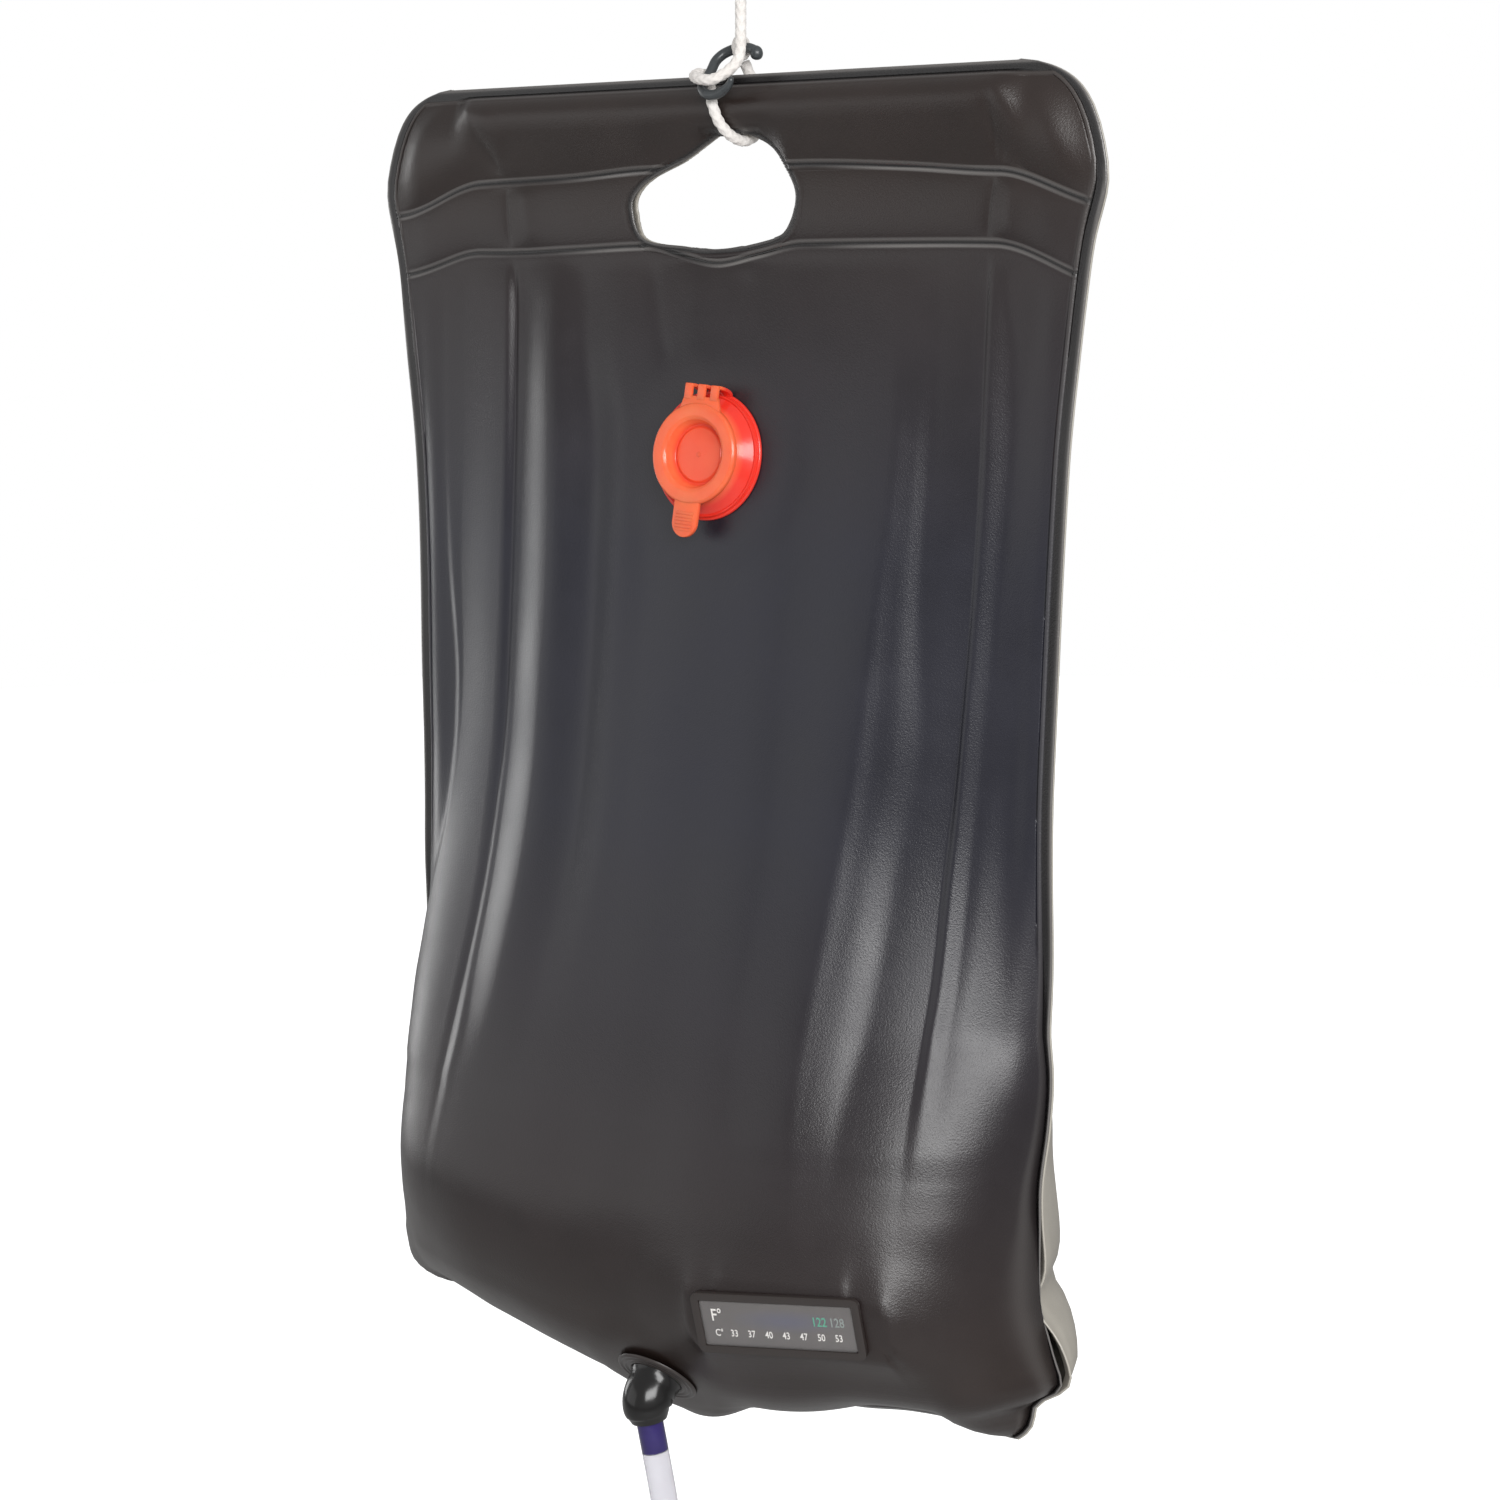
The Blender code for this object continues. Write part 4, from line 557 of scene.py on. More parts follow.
# Ridges: the same, standing up.
FRONT_RIDGES = [
    ([(84, -9), (100, -7.5), (126, -5)], 0.5, 5, 7),
    ([(44, -108), (58, -106), (74, -104)], 0.9, 4, 7),
    ([(44, 153), (58, 152), (74, 151)], 1.1, 3.5, 6),
    ([(4, 152), (16, 153), (30, 155)], 1.2, 3.5, 7),
    ([(3, -133), (16, -126), (30, -117)], 0.9, 4, 7),
]
BACK_CREASES = [
    ([(82, -128), (140, -122), (220, -119), (300, -124), (380, -121), (430, -117)], 2.8, 1.6, 9),
    ([(82, -62), (150, -66), (240, -60), (330, -63), (390, -58)], 1.2, 3, 11),
    ([(82, 60), (150, 66), (230, 63), (320, 69), (400, 66)], 1.4, 2.6, 10),
    ([(82, 118), (140, 121), (220, 117), (300, 122), (380, 119), (440, 124)], 3.0, 1.6, 9),
    ([(90, 152), (170, 149), (260, 150), (340, 155)], 1.6, 1.6, 6),
    ([(90, -154), (170, -152), (260, -150), (330, -156)], 1.6, 1.6, 6),
    ([(3, 141), (14, 138), (25, 133), (40, 124)], 1.2, 1.2, 5),
    ([(3, -142), (14, -139), (26, -133), (40, -125)], 1.2, 1.2, 5),
    ([(82, -30), (100, -24), (122, -18)], 1.0, 1.6, 6),
    ([(82, 28), (102, 21), (126, 15)], 1.0, 1.6, 6),
    ([(519, 167), (524, 163.5), (528, 155), (530, 143), (531, 130)], 3.0, 1.8, 7),
    ([(566, 176), (563, 168), (560, 158), (561, 146)], 2.0, 1.8, 6),
    ([(505, -168), (512, -158), (515, -146)], 1.4, 1.8, 6),
]
BACK_RIDGES = [
    ([(150, -108), (260, -104), (380, -103)], 1.1, 5, 8),
    ([(150, 104), (260, 101), (380, 103)], 1.2, 5, 8),
]
LIP = 0.0005
LIP_APART = 0.0014
LIP_WIDTH = 0.0005
SEAM_LIP_AT = SEAM + 0.0008
HOLE_LIP_AT = HOLE_RIM + 0.0006
CUT_LIP_WIDTH = 0.0005
SEAM_BLUR = 0.0006
WELD_LINE_HALF = 0.0009
WELD_LINE_BLUR = 0.0007
UPPER_WELD_NEAR = 0.012
LOWER_WELD_NEAR = 0.016
WELD_PUFF = 0.0011
WELD_PUFF_RUN = 0.0032
ROW_STEP = 0.0045
COLUMN_STEP = 0.003
CLOSE_STEP = 0.0005
HOLE_CUTS = 2
HOLE_CURVE_STEPS = 10
BORE_STEPS = 72
CREASE_STEP = 0.0009
CREASE_MARK_SHARES = (-0.85, -0.62, 0.775)
SEAM_SHARE = 0.95
SEAM_COLUMNS = 14
SEAM_COLUMN_GAP = 0.00002
SEAM_COLUMN_POWER = 2.3
CUT_MARGIN = 0.005
ROW_MARKS = (0.0035, 0.0055, ROD_WELD_DEPTH, BAND_DEPTH, BAG_HEIGHT - 0.004)
ROW_MARK_NEAR = 0.0034
# The ring of film round the gauge that is evened out, in sizes of the gauge, and how often.
RING_FROM = 1.08
RING_TO = 3.6
RING_FULL_TO = 1.4
RING_FADED_AT = 3.3
RING_ROUNDS = 70


def lines(low, high, step, close, marks, near):
    """Grid lines from low to high: a step apart, and close together within near of each mark."""
    made = [low]
    while made[-1] < high:
        gap = min(abs(made[-1] - mark) for mark in marks)
        made.append(made[-1] + float(np.interp(gap, [near, 2.6 * near], [close, step])))
    made = np.array(made)
    return low + (made - low) * (high - low) / (made[-1] - low)


def lines_between(first, second):
    """One set of grid lines that is as close everywhere as the closer of two sets."""
    at = np.linspace(-1, 1, 4001)
    rates = [np.interp(at, (row[1:] + row[:-1]) / 2, 1 / np.diff(row)) for row in (first, second)]
    rate = np.maximum(*rates)
    count = np.concatenate([[0], np.cumsum((rate[1:] + rate[:-1]) / 2 * np.diff(at))])
    return np.interp(np.linspace(0, count[-1], round(count[-1]) + 1), count, at)


def column_shares(front):
    """Columns of the film's grid from -1 to 1: even on the seam, and closing up towards it on the wall."""
    wall = lines(-1, 1, COLUMN_STEP / HALF_WIDTH, COLUMN_STEP / HALF_WIDTH, (0,), 1)
    if front:
        fine = lines(-1, 1, COLUMN_STEP / HALF_WIDTH, CREASE_STEP / HALF_WIDTH, CREASE_MARK_SHARES, 0.03)
        wall = lines_between(wall, fine)
    near = 1 - SEAM_COLUMN_GAP * np.arange(SEAM_COLUMNS + 1) ** SEAM_COLUMN_POWER
    wall = np.concatenate([-near, wall[np.abs(wall) < near[-1] - 0.004], near[::-1]])
    seam = np.linspace(SEAM_SHARE, 1, 6)[1:]
    return np.concatenate([-seam[::-1], wall * SEAM_SHARE, seam])


def column_place(shares, depth):
    """x of the grid's columns at each depth, with one column always on the seam's inner edge."""
    inner = half_width(depth) - SEAM
    on_wall = np.abs(shares) / SEAM_SHARE
    in_seam = (np.abs(shares) - SEAM_SHARE) / (1 - SEAM_SHARE)
    return np.sign(shares) * np.where(on_wall <= 1, inner * on_wall, inner + in_seam * SEAM)


def hole_outline():
    """The handle hole as a smooth closed line of (x, depth), pointed where its two ends meet."""
    shares = np.array([*HOLE_SHARES[-2:], *HOLE_SHARES, *HOLE_SHARES[:2]])
    line = []
    for i in range(1, len(shares) - 2):
        a, b, c, d = shares[i - 1 : i + 3]
        sharp = i == 1 or i == len(shares) - 3
        for t in np.linspace(0, 1, HOLE_CURVE_STEPS, endpoint=False):
            curve = 2 * b + (c - a) * t + (2 * a - 5 * b + 4 * c - d) * t**2
            curve = curve + (3 * b - a - 3 * c + d) * t**3
            line.append(b + (c - b) * t if sharp else curve / 2)
    line = np.array(line)[HOLE_CURVE_STEPS:]
    return np.stack([HOLE_X + line[:, 0] * HOLE_WIDTH / 2, HOLE_DEPTH - line[:, 1] * HOLE_HEIGHT / 2], 1)


def round_outline(x, depth, radius):
    """A round hole's line on the bag, at a fitting's place in the frame."""
    turn = np.linspace(0, math.tau, BORE_STEPS, endpoint=False)
    return np.stack([x - middle(depth) + radius * np.cos(turn), depth + radius * np.sin(turn)], 1)


def nearest(points, line, closed=False):
    """Distance from each point to a line, the nearest place on it, and how far along that is (0 to 1)."""
    if closed:
        line = np.vstack([line, line[:1]])
    lengths = np.linalg.norm(np.diff(line, axis=0), axis=1)
    start = np.concatenate([[0], np.cumsum(lengths)])
    best = np.full(len(points), np.inf)
    spot = np.zeros_like(points)
    along = np.zeros(len(points))
    for i, (a, b) in enumerate(zip(line, line[1:], strict=False)):
        t = np.clip((points - a) @ (b - a) / max(lengths[i] ** 2, 1e-12), 0, 1)
        on = a + t[:, None] * (b - a)
        gap = np.linalg.norm(points - on, axis=1)
        closer = gap < best
        best[closer] = gap[closer]
        spot[closer] = on[closer]
        along[closer] = (start[i] + t[closer] * lengths[i]) / start[-1]
    return best, spot, along


def inside(points, line):
    """Which points lie inside a closed line."""
    odd = np.zeros(len(points), bool)
    for a, b in zip(line, np.roll(line, -1, axis=0), strict=True):
        straddles = (a[1] > points[:, 1]) != (b[1] > points[:, 1])
        cross = a[0] + (points[:, 1] - a[1]) * (b[0] - a[0]) / (b[1] - a[1] + 1e-15)
        odd ^= straddles & (points[:, 0] < cross)
    return odd


def flat_places(verts):
    """x and y of each vertex."""
    return np.array([v.co[:2] for v in verts])


def cut_hole(bm, line, cuts):
    """Refines a flat sheet round a closed line, cuts it out and moves the edge on to the line."""
    gap = nearest(flat_places(bm.verts), line, closed=True)[0]
    close = [v for v, g in zip(bm.verts, gap, strict=True) if g < CUT_MARGIN]
    edges = {e for v in close for e in v.link_edges}
    if cuts:
        bmesh.ops.subdivide_edges(bm, edges=list(edges), cuts=cuts, use_grid_fill=True)
    bm.faces.ensure_lookup_table()
    middles = np.array([f.calc_center_median()[:2] for f in bm.faces])
    gone = inside(middles, line)
    bmesh.ops.delete(bm, geom=[bm.faces[i] for i in np.flatnonzero(gone)], context="FACES")
    rim = [v for v in bm.verts if v.is_boundary]
    gap, spot, _ = nearest(flat_places(rim), line, closed=True)
    for vert, g, (x, depth) in zip(rim, gap, spot, strict=True):
        if g < CUT_MARGIN:
            vert.co = (x, depth, 0)


def edge_gap(x, depth):
    """How far each place is from the sheet's edge."""
    return np.minimum(half_width(depth) - np.abs(x), np.minimum(depth, BAG_HEIGHT - depth))


def pressed_share(x, depth, hole_gap):
    """How much of each place is weld: 1 on the welds, the hole's rim and the flange."""
    share = 1 - ease(SEAM - SEAM_BLUR, SEAM + SEAM_BLUR, edge_gap(x, depth))
    for line in (UPPER_WELD, LOWER_WELD):
        gap = np.abs(depth - flow(line, x))
        share = np.maximum(share, 1 - ease(WELD_LINE_HALF, WELD_LINE_HALF + WELD_LINE_BLUR, gap))
    return np.maximum(share, 1 - ease(HOLE_RIM - 0.0005, HOLE_RIM + 0.0004, hole_gap))


def lip_share(x, depth, hole_gap):
    """How much of each place gets the painted highlight of the raised, polished lip beside a weld or the
    trimmed edge.
    """
    edge = edge_gap(x, depth)
    share = bell(edge, 0, 0.0008) + 0.2 * bell(edge, SEAM + 0.0006, LIP_WIDTH)
    inner = ease(SEAM - 0.002, SEAM + 0.004, edge)
    for line in (UPPER_WELD, LOWER_WELD):
        gap = depth - flow(line, x)
        # Painted highlight along each weld lip, stronger in places, and weaker on the upper lip.
        wear_and_highlight = 0.55 + 0.45 * np.sin(x / 0.017 + 2 * np.sin(x / 0.05))
        share = np.maximum(share, inner * wear_and_highlight * bell(gap, LIP_APART, LIP_WIDTH))
        share = np.maximum(share, inner * 0.45 * bell(gap, -LIP_APART, LIP_WIDTH))
    share = share * ease(0.001, 0.004, hole_gap)
    return share + 0.6 * bell(hole_gap, 0, 0.0006)


def ripple(x, depth):
    """The slow unevenness of full film: long shallow waves that run down the bag and drift across it."""
    total = 0.00010 * np.sin(x / 0.0068 + 1.1 * np.sin(depth / 0.21) + 0.4)
    total = total + 0.00016 * np.sin(x / 0.0113 + 1.6 * np.sin(depth / 0.27 + 1) + 2.1)
    return total + 0.0003 * np.sin(x / 0.023 + depth / 0.19) * np.sin(depth / 0.15 + x / 0.08)


def long_folds(x, depth):
    """Height of the front film's long folds: it eases from each valley line to the next crest line."""
    down = depth * 1000
    rows = []
    for line in zip(FOLD_XS, FOLD_HEIGHTS, strict=True):
        rows.append([flow(list(zip(FOLD_DEPTHS, row, strict=True)), down) / 1000 for row in line])
    total = 0
    for (low, before), (high, after) in zip(rows, rows[1:], strict=False):
        plain = np.clip((x - low) / (high - low), 0, 1)
        total = total + (after - before) * (0.5 * plain + 0.5 * ease(low, high, x))
    first = rows[0][1] * ease(-half_width(depth) + SEAM, rows[0][0], x)
    return first + total - rows[-1][1] * ease(rows[-1][0], half_width(depth) - SEAM, x)


def relief(x, depth, front, hole_gap):
    """What the welds, creases and folds add to the plain wall's height."""
    edge = edge_gap(x, depth)
    within = ease(SEAM, SEAM + 0.012, edge)
    full = ease(BAND_DEPTH + 0.002, BAND_DEPTH + 0.035, depth)
    total = ripple(x if front else -x, depth) * within * full
    if front:
        total = total + long_folds(x, depth) * ease(BAND_DEPTH + 0.001, BAND_DEPTH + 0.02, depth) * within
    flat = np.stack([depth, x], 1) * 1000
    creases, ridges = (FRONT_CREASES, FRONT_RIDGES) if front else (BACK_CREASES, BACK_RIDGES)
    for rows, sign in ((creases, -1), (ridges, 1)):
        for line, deep, narrow, wide in rows:
            gap, _, along = nearest(flat, np.array(line, float))
            fade = ease(-0.02, 0.16, along) * (1 - ease(0.8, 1.02, along))
            soft = np.sqrt(gap**2 + (narrow * 0.35) ** 2) - narrow * 0.35
            shape = 0.4 * np.exp(-soft / narrow) + 0.6 * np.exp(-soft / wide)
            total = total + sign * deep / 1000 * shape * fade * within
    for line in (UPPER_WELD, LOWER_WELD):
        gap = np.abs(depth - flow(line, x))
        side = ease(SEAM - 0.001, SEAM + 0.003, edge)
        total = total * ease(0, 0.006, gap)
        run = np.clip(gap - LIP_APART, 0, None) / WELD_PUFF_RUN
        puff = WELD_PUFF * (1 - np.exp(-run)) * np.exp(-gap / 0.012)
        lip = LIP * bell(gap, LIP_APART, LIP_WIDTH)
        total = total + (lip + puff * ease(0, 0.004, hole_gap)) * side
    total = total + LIP * bell(edge, SEAM_LIP_AT, LIP_WIDTH)
    total = total + LIP * 0.5 * bell(edge, CUT_LIP_WIDTH, CUT_LIP_WIDTH)
    total = total * ease(0.0004, HOLE_RIM + 0.001, hole_gap)
    total = total + LIP * bell(hole_gap, HOLE_LIP_AT, LIP_WIDTH)
    return total + LIP * 0.6 * bell(hole_gap, CUT_LIP_WIDTH, CUT_LIP_WIDTH)


def flange_wave(x, depth):
    """Both films' edge waves together out of the seam plane, most near the full bag's lower corners."""
    edge = half_width(depth) - np.abs(x)
    rim = 1 - ease(0, 0.02, edge)
    low = ease(0.55, 0.8, depth / BAG_HEIGHT)
    side = np.sign(x)
    wave = np.sin(depth / 0.0105 + side) * 0.0009 * low + np.sin(depth / 0.027 + 2 * side) * 0.0008
    return wave * rim * ease(0.05, 0.12, depth)


# Where the full bag's lower right edge is drawn in: depth, how far in and half height.
NOTCHES = [(0.5235, 0.0075, 0.0095), (0.5675, 0.0085, 0.0065)]
SIDE_BEND = math.radians(38)
FOOT_BEND = math.radians(62)


def drawn_in(x, depth):
    """How far the lower right edge is drawn in towards the bag's middle."""
    share = ease(0.72, 1, x / half_width(depth))
    return share * sum(far * bell(depth, at, tall) for at, far, tall in NOTCHES)


def bent(x, depth, height):
    """The full bag turns its edge seam: forward at its lower right side and back along its foot."""
    side = np.clip(SEAM - half_width(depth) + np.abs(x), 0, SEAM) * ease(0.6, 0.75, depth / BAG_HEIGHT)
    foot = np.clip(SEAM - BAG_HEIGHT + depth, 0, SEAM)
    height = height + side * math.sin(SIDE_BEND) * np.sign(x) - foot * math.sin(FOOT_BEND)
    across = x - np.sign(x) * side * (1 - math.cos(SIDE_BEND))
    return across, depth - foot * (1 - math.cos(FOOT_BEND)), height


def relaxed(bm, x, depth):
    """Evens out the film between the flat place under the gauge and the full wall round it."""
    away = sizes_away("gauge", x, depth)
    in_ring = (away > RING_FROM) & (away < RING_TO)
    bm.verts.ensure_lookup_table()
    ring = [bm.verts[i] for i in np.flatnonzero(in_ring)]
    before = [vert.co.copy() for vert in ring]
    for _ in range(RING_ROUNDS):
        bmesh.ops.smooth_vert(bm, verts=ring, factor=0.5, use_axis_x=True, use_axis_y=True, use_axis_z=True)
    shares = 1 - ease(RING_FULL_TO, RING_FADED_AT, away[in_ring])
    for vert, old, share in zip(ring, before, shares, strict=True):
        vert.co = old.lerp(vert.co, share)


def film_mesh(name, front):
    """One film: a flat sheet cut out and refined, then laid on the full bag's form."""
    rows = lines(0, BAG_HEIGHT, ROW_STEP, CLOSE_STEP, ROW_MARKS, ROW_MARK_NEAR)
    shares = column_shares(front)
    bm = bmesh.new()
    bmesh.ops.create_grid(bm, x_segments=len(shares) - 1, y_segments=len(rows) - 1, size=0.5)
    flat = flat_places(bm.verts) + 0.5
    depth = rows[np.rint(flat[:, 1] * (len(rows) - 1)).astype(int)]
    x = column_place(shares[np.rint(flat[:, 0] * (len(shares) - 1)).astype(int)], depth)
    near_upper = bell(depth, ROD_WELD_DEPTH, UPPER_WELD_NEAR) * np.minimum(1, depth / 0.02)
    near_lower = bell(depth, BAND_DEPTH, LOWER_WELD_NEAR)
    shift = (flow(UPPER_WELD, x) - ROD_WELD_DEPTH) * near_upper
    shift = shift + (flow(LOWER_WELD, x) - BAND_DEPTH) * near_lower
    for vert, across, down in zip(bm.verts, x, depth + shift, strict=True):
        vert.co = (across, down, 0)
    outline = hole_outline()
    cut_hole(bm, outline, HOLE_CUTS)
    if front:
        cut_hole(bm, round_outline(FILLER_X, FILLER_DEPTH, NECK_BORE_RADIUS + 0.001), 0)
        cut_hole(bm, round_outline(OUTLET_X, OUTLET_DEPTH, OUTLET_BORE_RADIUS + 0.001), 1)
    flat = flat_places(bm.verts)
    x, depth = flat[:, 0], flat[:, 1]
    hole_gap = nearest(flat, outline, closed=True)[0]
    inner = half_width(depth) - SEAM
    height = np.where(np.abs(x) < inner, plain_wall(x, depth, front), 0) + WELD_GAP / 2
    height = np.maximum(height + relief(x, depth, front, hole_gap), WELD_GAP / 2)
    height = (height if front else -height) + flange_wave(x, depth)
    bent_x, bent_depth, height = bent(x, depth, height)
    points = place(bent_x, height, bent_depth)
    points[:, 0] -= drawn_in(x, depth)
    if front:
        points = flattened(points, x, depth)
    pressed = pressed_share(x, depth, hole_gap)
    lip_highlights = lip_share(x, depth, hole_gap)
    # The lip attribute carries the painted highlight on each weld lip and trimmed edge.
    layer = bm.verts.layers.float.new("pressed")
    lip_highlight_layer = bm.verts.layers.float.new("lip")
    for vert, point, share, lip in zip(bm.verts, points, pressed, lip_highlights, strict=True):
        vert.co = point
        vert[layer] = share
        vert[lip_highlight_layer] = lip
    if front:
        relaxed(bm, x, depth)
    on_seam = np.abs(np.abs(x) - inner) < 1e-6
    for edge in bm.edges:
        edge.smooth = not (on_seam[edge.verts[0].index] and on_seam[edge.verts[1].index])
    bmesh.ops.recalc_face_normals(bm, faces=bm.faces)
    for face in bm.faces:
        face.smooth = True
    bm.faces.ensure_lookup_table()
    centre = Vector((-0.02, 0, -0.45))
    middle_face = min(bm.faces, key=lambda f: (f.calc_center_median() - centre).length_squared)
    if (middle_face.normal.y < 0) != front:
        bmesh.ops.reverse_faces(bm, faces=bm.faces)
    mesh = bpy.data.meshes.new(name)
    bm.to_mesh(mesh)
    bm.free()
    return mesh


FILM_IOR = 1.53
# Heights in the frame between which the film's painted warm reflection at its foot and at its top comes in.
FOOT_REFLECTION_HEIGHTS = (-0.4, -0.62)
TOP_REFLECTION_HEIGHTS = (-0.28, -0.12)
FILM_GRAIN = 0.0008


def film_material(name, colour, painted_reflection_colour, weld_colour, lip_highlight_colour, rough, weld_rough):
    """Satin PVC film: slow mottling, a fine pressed grain, a painted warm reflection at both ends, glossier
    welds, a painted highlight on each lip.
    """
    material, tree, shader = new_material(name)
    place_on = object_place(tree)
    mottle = noise(tree, place_on, 0.045, 3, 0.6)
    # The real grain is about 0.25 mm, which is too fine to show, so it is drawn coarser.
    grain = noise(tree, place_on, FILM_GRAIN, 2, 0.7)
    high = node(tree, "SeparateXYZ", {0: place_on}).outputs["Z"]
    foot = spread(tree, high, 0, 1, *FOOT_REFLECTION_HEIGHTS)
    top = spread(tree, high, 0, 1, *TOP_REFLECTION_HEIGHTS)
    # Painted warm reflection: the colour runs warmer towards the film's foot and its top.
    base = blend(tree, combined(tree, "MAXIMUM", foot, top), colour, painted_reflection_colour)
    speck = spread(tree, mottle, 0.9, 1.1, 0.35, 0.65)
    base = node(tree, "VectorMath", {0: base, "Scale": speck}, operation="SCALE").outputs[0]
    weld = node(tree, "Attribute", attribute_name="pressed").outputs["Fac"]
    base = blend(tree, weld, base, weld_colour)
    # Painted highlight: a lighter colour on each lip and trimmed edge.
    lip = node(tree, "Attribute", attribute_name="lip").outputs["Fac"]
    satin = spread(tree, mottle, rough - 0.05, rough + 0.05, 0.3, 0.7)
    finish = node(tree, "Mix", {0: weld, 2: satin, 3: weld_rough}).outputs[0]
    feed(tree, shader, {"Base Color": blend(tree, lip, base, lip_highlight_colour), "Roughness": finish})
    feed(tree, shader, {"Normal": bumped(tree, grain, 0.8, 0.00016), "IOR": FILM_IOR})
    return material


# Colours: the film, its painted warm reflection at both ends, its welds, and the painted highlight on each
# lip.
black_film = film_material("black_satin_pvc_film", "#1D1D27", "#251C19", "#151314", "#726F6D", 0.34, 0.22)
grey_film = film_material("warm_grey_pvc_film", "#A39E95", "#A39E94", "#928D84", "#B5B0A6", 0.44, 0.3)
for name, front, slot, material, old in (
    ("front_film", True, "black_pvc_film", black_film, "front_panel"),
    ("back_film", False, "grey_pvc_film", grey_film, "back_panel"),
):
    film = show(name, film_mesh(name, front), "bag", material, (old,))
    wall = film.modifiers.new("thickness", "SOLIDIFY")
    wall.thickness = SHEET
    wall.offset = 1

# The support rod is a black plastic tube, cut to length and welded into the sleeve, whose form is all that
# shows of it.

rod_plastic, tree, shader = new_material("black_polyethylene_tube")
scuff = noise(tree, object_place(tree), 0.006, 3)
feed(tree, shader, {"Base Color": srgb("#2B2B2D"), "Roughness": spread(tree, scuff, 0.36, 0.52)})
paint("support_rod", rod_plastic)

# The filler: a soft orange PVC neck, moulded in one with its push-in cap, three hinge straps and ribbed
# pull tab. Its two-stepped flange is welded on the front film. The cap turns back on its straps.

FILLER_ROLL = math.radians(-4)
NECK_FLANGE = 0.0016
NECK_STEP = 0.0014
NECK_STEP_RADIUS = 0.0270
NECK_FOOT_RADIUS = 0.0258
NECK_TOP_RADIUS = 0.0205
NECK_HEIGHT = 0.0095
CAP_RADIUS = 0.0222
CAP_RIM = 0.0030
CAP_DISH_RADIUS = 0.0160
CAP_DISH_DEPTH = 0.0058
CAP_DISC_RADIUS = 0.0125
CAP_DISC_RISE = 0.0009
PLUG_RADIUS = 0.0184
PLUG_FOOT_RADIUS = 0.0172
PLUG_WALL = 0.0014
TAB_LENGTH = 0.0144
TAB_WIDTH = 0.0132
TAB_THICK = 0.0022
TAB_RIBS = 6
TAB_RIB = 0.0006
STRAP_COUNT = 3
STRAP_WIDTH = 0.0040
STRAP_PITCH = 0.0070
STRAP_THICK = 0.0014
HINGE_RISE = 0.0075
NECK_STEP_TOP = SEAT + NECK_FLANGE + NECK_STEP
NECK_TOP = SEAT + NECK_HEIGHT
CAP_FOOT = NECK_TOP + SEAT
CAP_TOP = CAP_FOOT + CAP_RIM
HINGE_Y = CAP_RADIUS + HINGE_RISE
HINGE_Z = CAP_FOOT + CAP_RIM / 2
MOULD_STEPS = 96
FITTING_STEPS = 64
HEAD_STEPS = 80
CORNER_STEPS = 6
SAME_PLACE = 1e-6
GATE_RADIUS = 0.0011


def arc(centre, radius, start, end, steps):
    """Points of an arc in degrees, both ends included."""
    turn = np.radians(np.linspace(start, end, steps + 1))
    return [(centre[0] + radius * math.cos(a), centre[1] + radius * math.sin(a)) for a in turn]


def turned(profile, steps=MOULD_STEPS, round_off=0.0003):
    """A closed profile of (radius, height) pairs spun about z, with its sharp edges rounded off."""
    bm = bmesh.new()
    ring = [bm.verts.new((r, 0, z)) for r, z in profile]
    edges = [bm.edges.new((ring[i - 1], ring[i])) for i in range(len(ring))]
    bmesh.ops.spin(
        bm, geom=ring + edges, cent=(0, 0, 0), axis=(0, 0, 1), angle=math.tau, steps=steps, use_merge=True
    )
    bmesh.ops.remove_doubles(bm, verts=bm.verts, dist=SEAT / 10)
    loose = [e for e in bm.edges if len(e.link_faces) == 0]
    bmesh.ops.delete(bm, geom=loose, context="EDGES")
    return rounded_off(bm, round_off)


def rounded_off(bm, radius, sharp=math.radians(24)):
    """Normals outward, and every sharp edge bevelled."""
    bmesh.ops.recalc_face_normals(bm, faces=bm.faces)
    edges = [e for e in bm.edges if len(e.link_faces) == 2 and e.calc_face_angle(0) > sharp]
    if radius:
        round_edge = {"affect": "EDGES", "segments": 2, "profile": 0.5, "clamp_overlap": True}
        bmesh.ops.bevel(bm, geom=edges, offset=radius, material=-1, **round_edge)
    return bm


def extruded(outline, low, high, round_off=0.0003):
    """An outline of (x, y) pairs extruded along z, with its edges rounded off."""
    bm = bmesh.new()
    face = bm.faces.new([bm.verts.new((x, y, low)) for x, y in outline])
    grown = bmesh.ops.extrude_face_region(bm, geom=[face])
    moved = [v for v in grown["geom"] if isinstance(v, bmesh.types.BMVert)]
    bmesh.ops.translate(bm, verts=moved, vec=(0, 0, high - low))
    return rounded_off(bm, round_off)


def moved(bm, matrix):
    """A bmesh, transformed."""
    bmesh.ops.transform(bm, matrix=matrix, verts=bm.verts)
    return bm


def joined(name, parts, matrix=None, sharp=math.radians(40)):
    """The parts as one mesh, put in its place in the frame."""
    whole = bmesh.new()
    for bm in parts:
        part_mesh = bpy.data.meshes.new("part")
        bm.to_mesh(part_mesh)
        bm.free()
        whole.from_mesh(part_mesh)
        bpy.data.meshes.remove(part_mesh)
    if matrix is not None:
        moved(whole, matrix)
    mesh = bpy.data.meshes.new(name)
    whole.to_mesh(mesh)
    whole.free()
    mesh.shade_smooth()
    mesh.set_sharp_from_angle(angle=sharp)
    return mesh


TURN_TO_X = Matrix(((0, 0, 1, 0), (1, 0, 0, 0), (0, 1, 0, 0), (0, 0, 0, 1)))


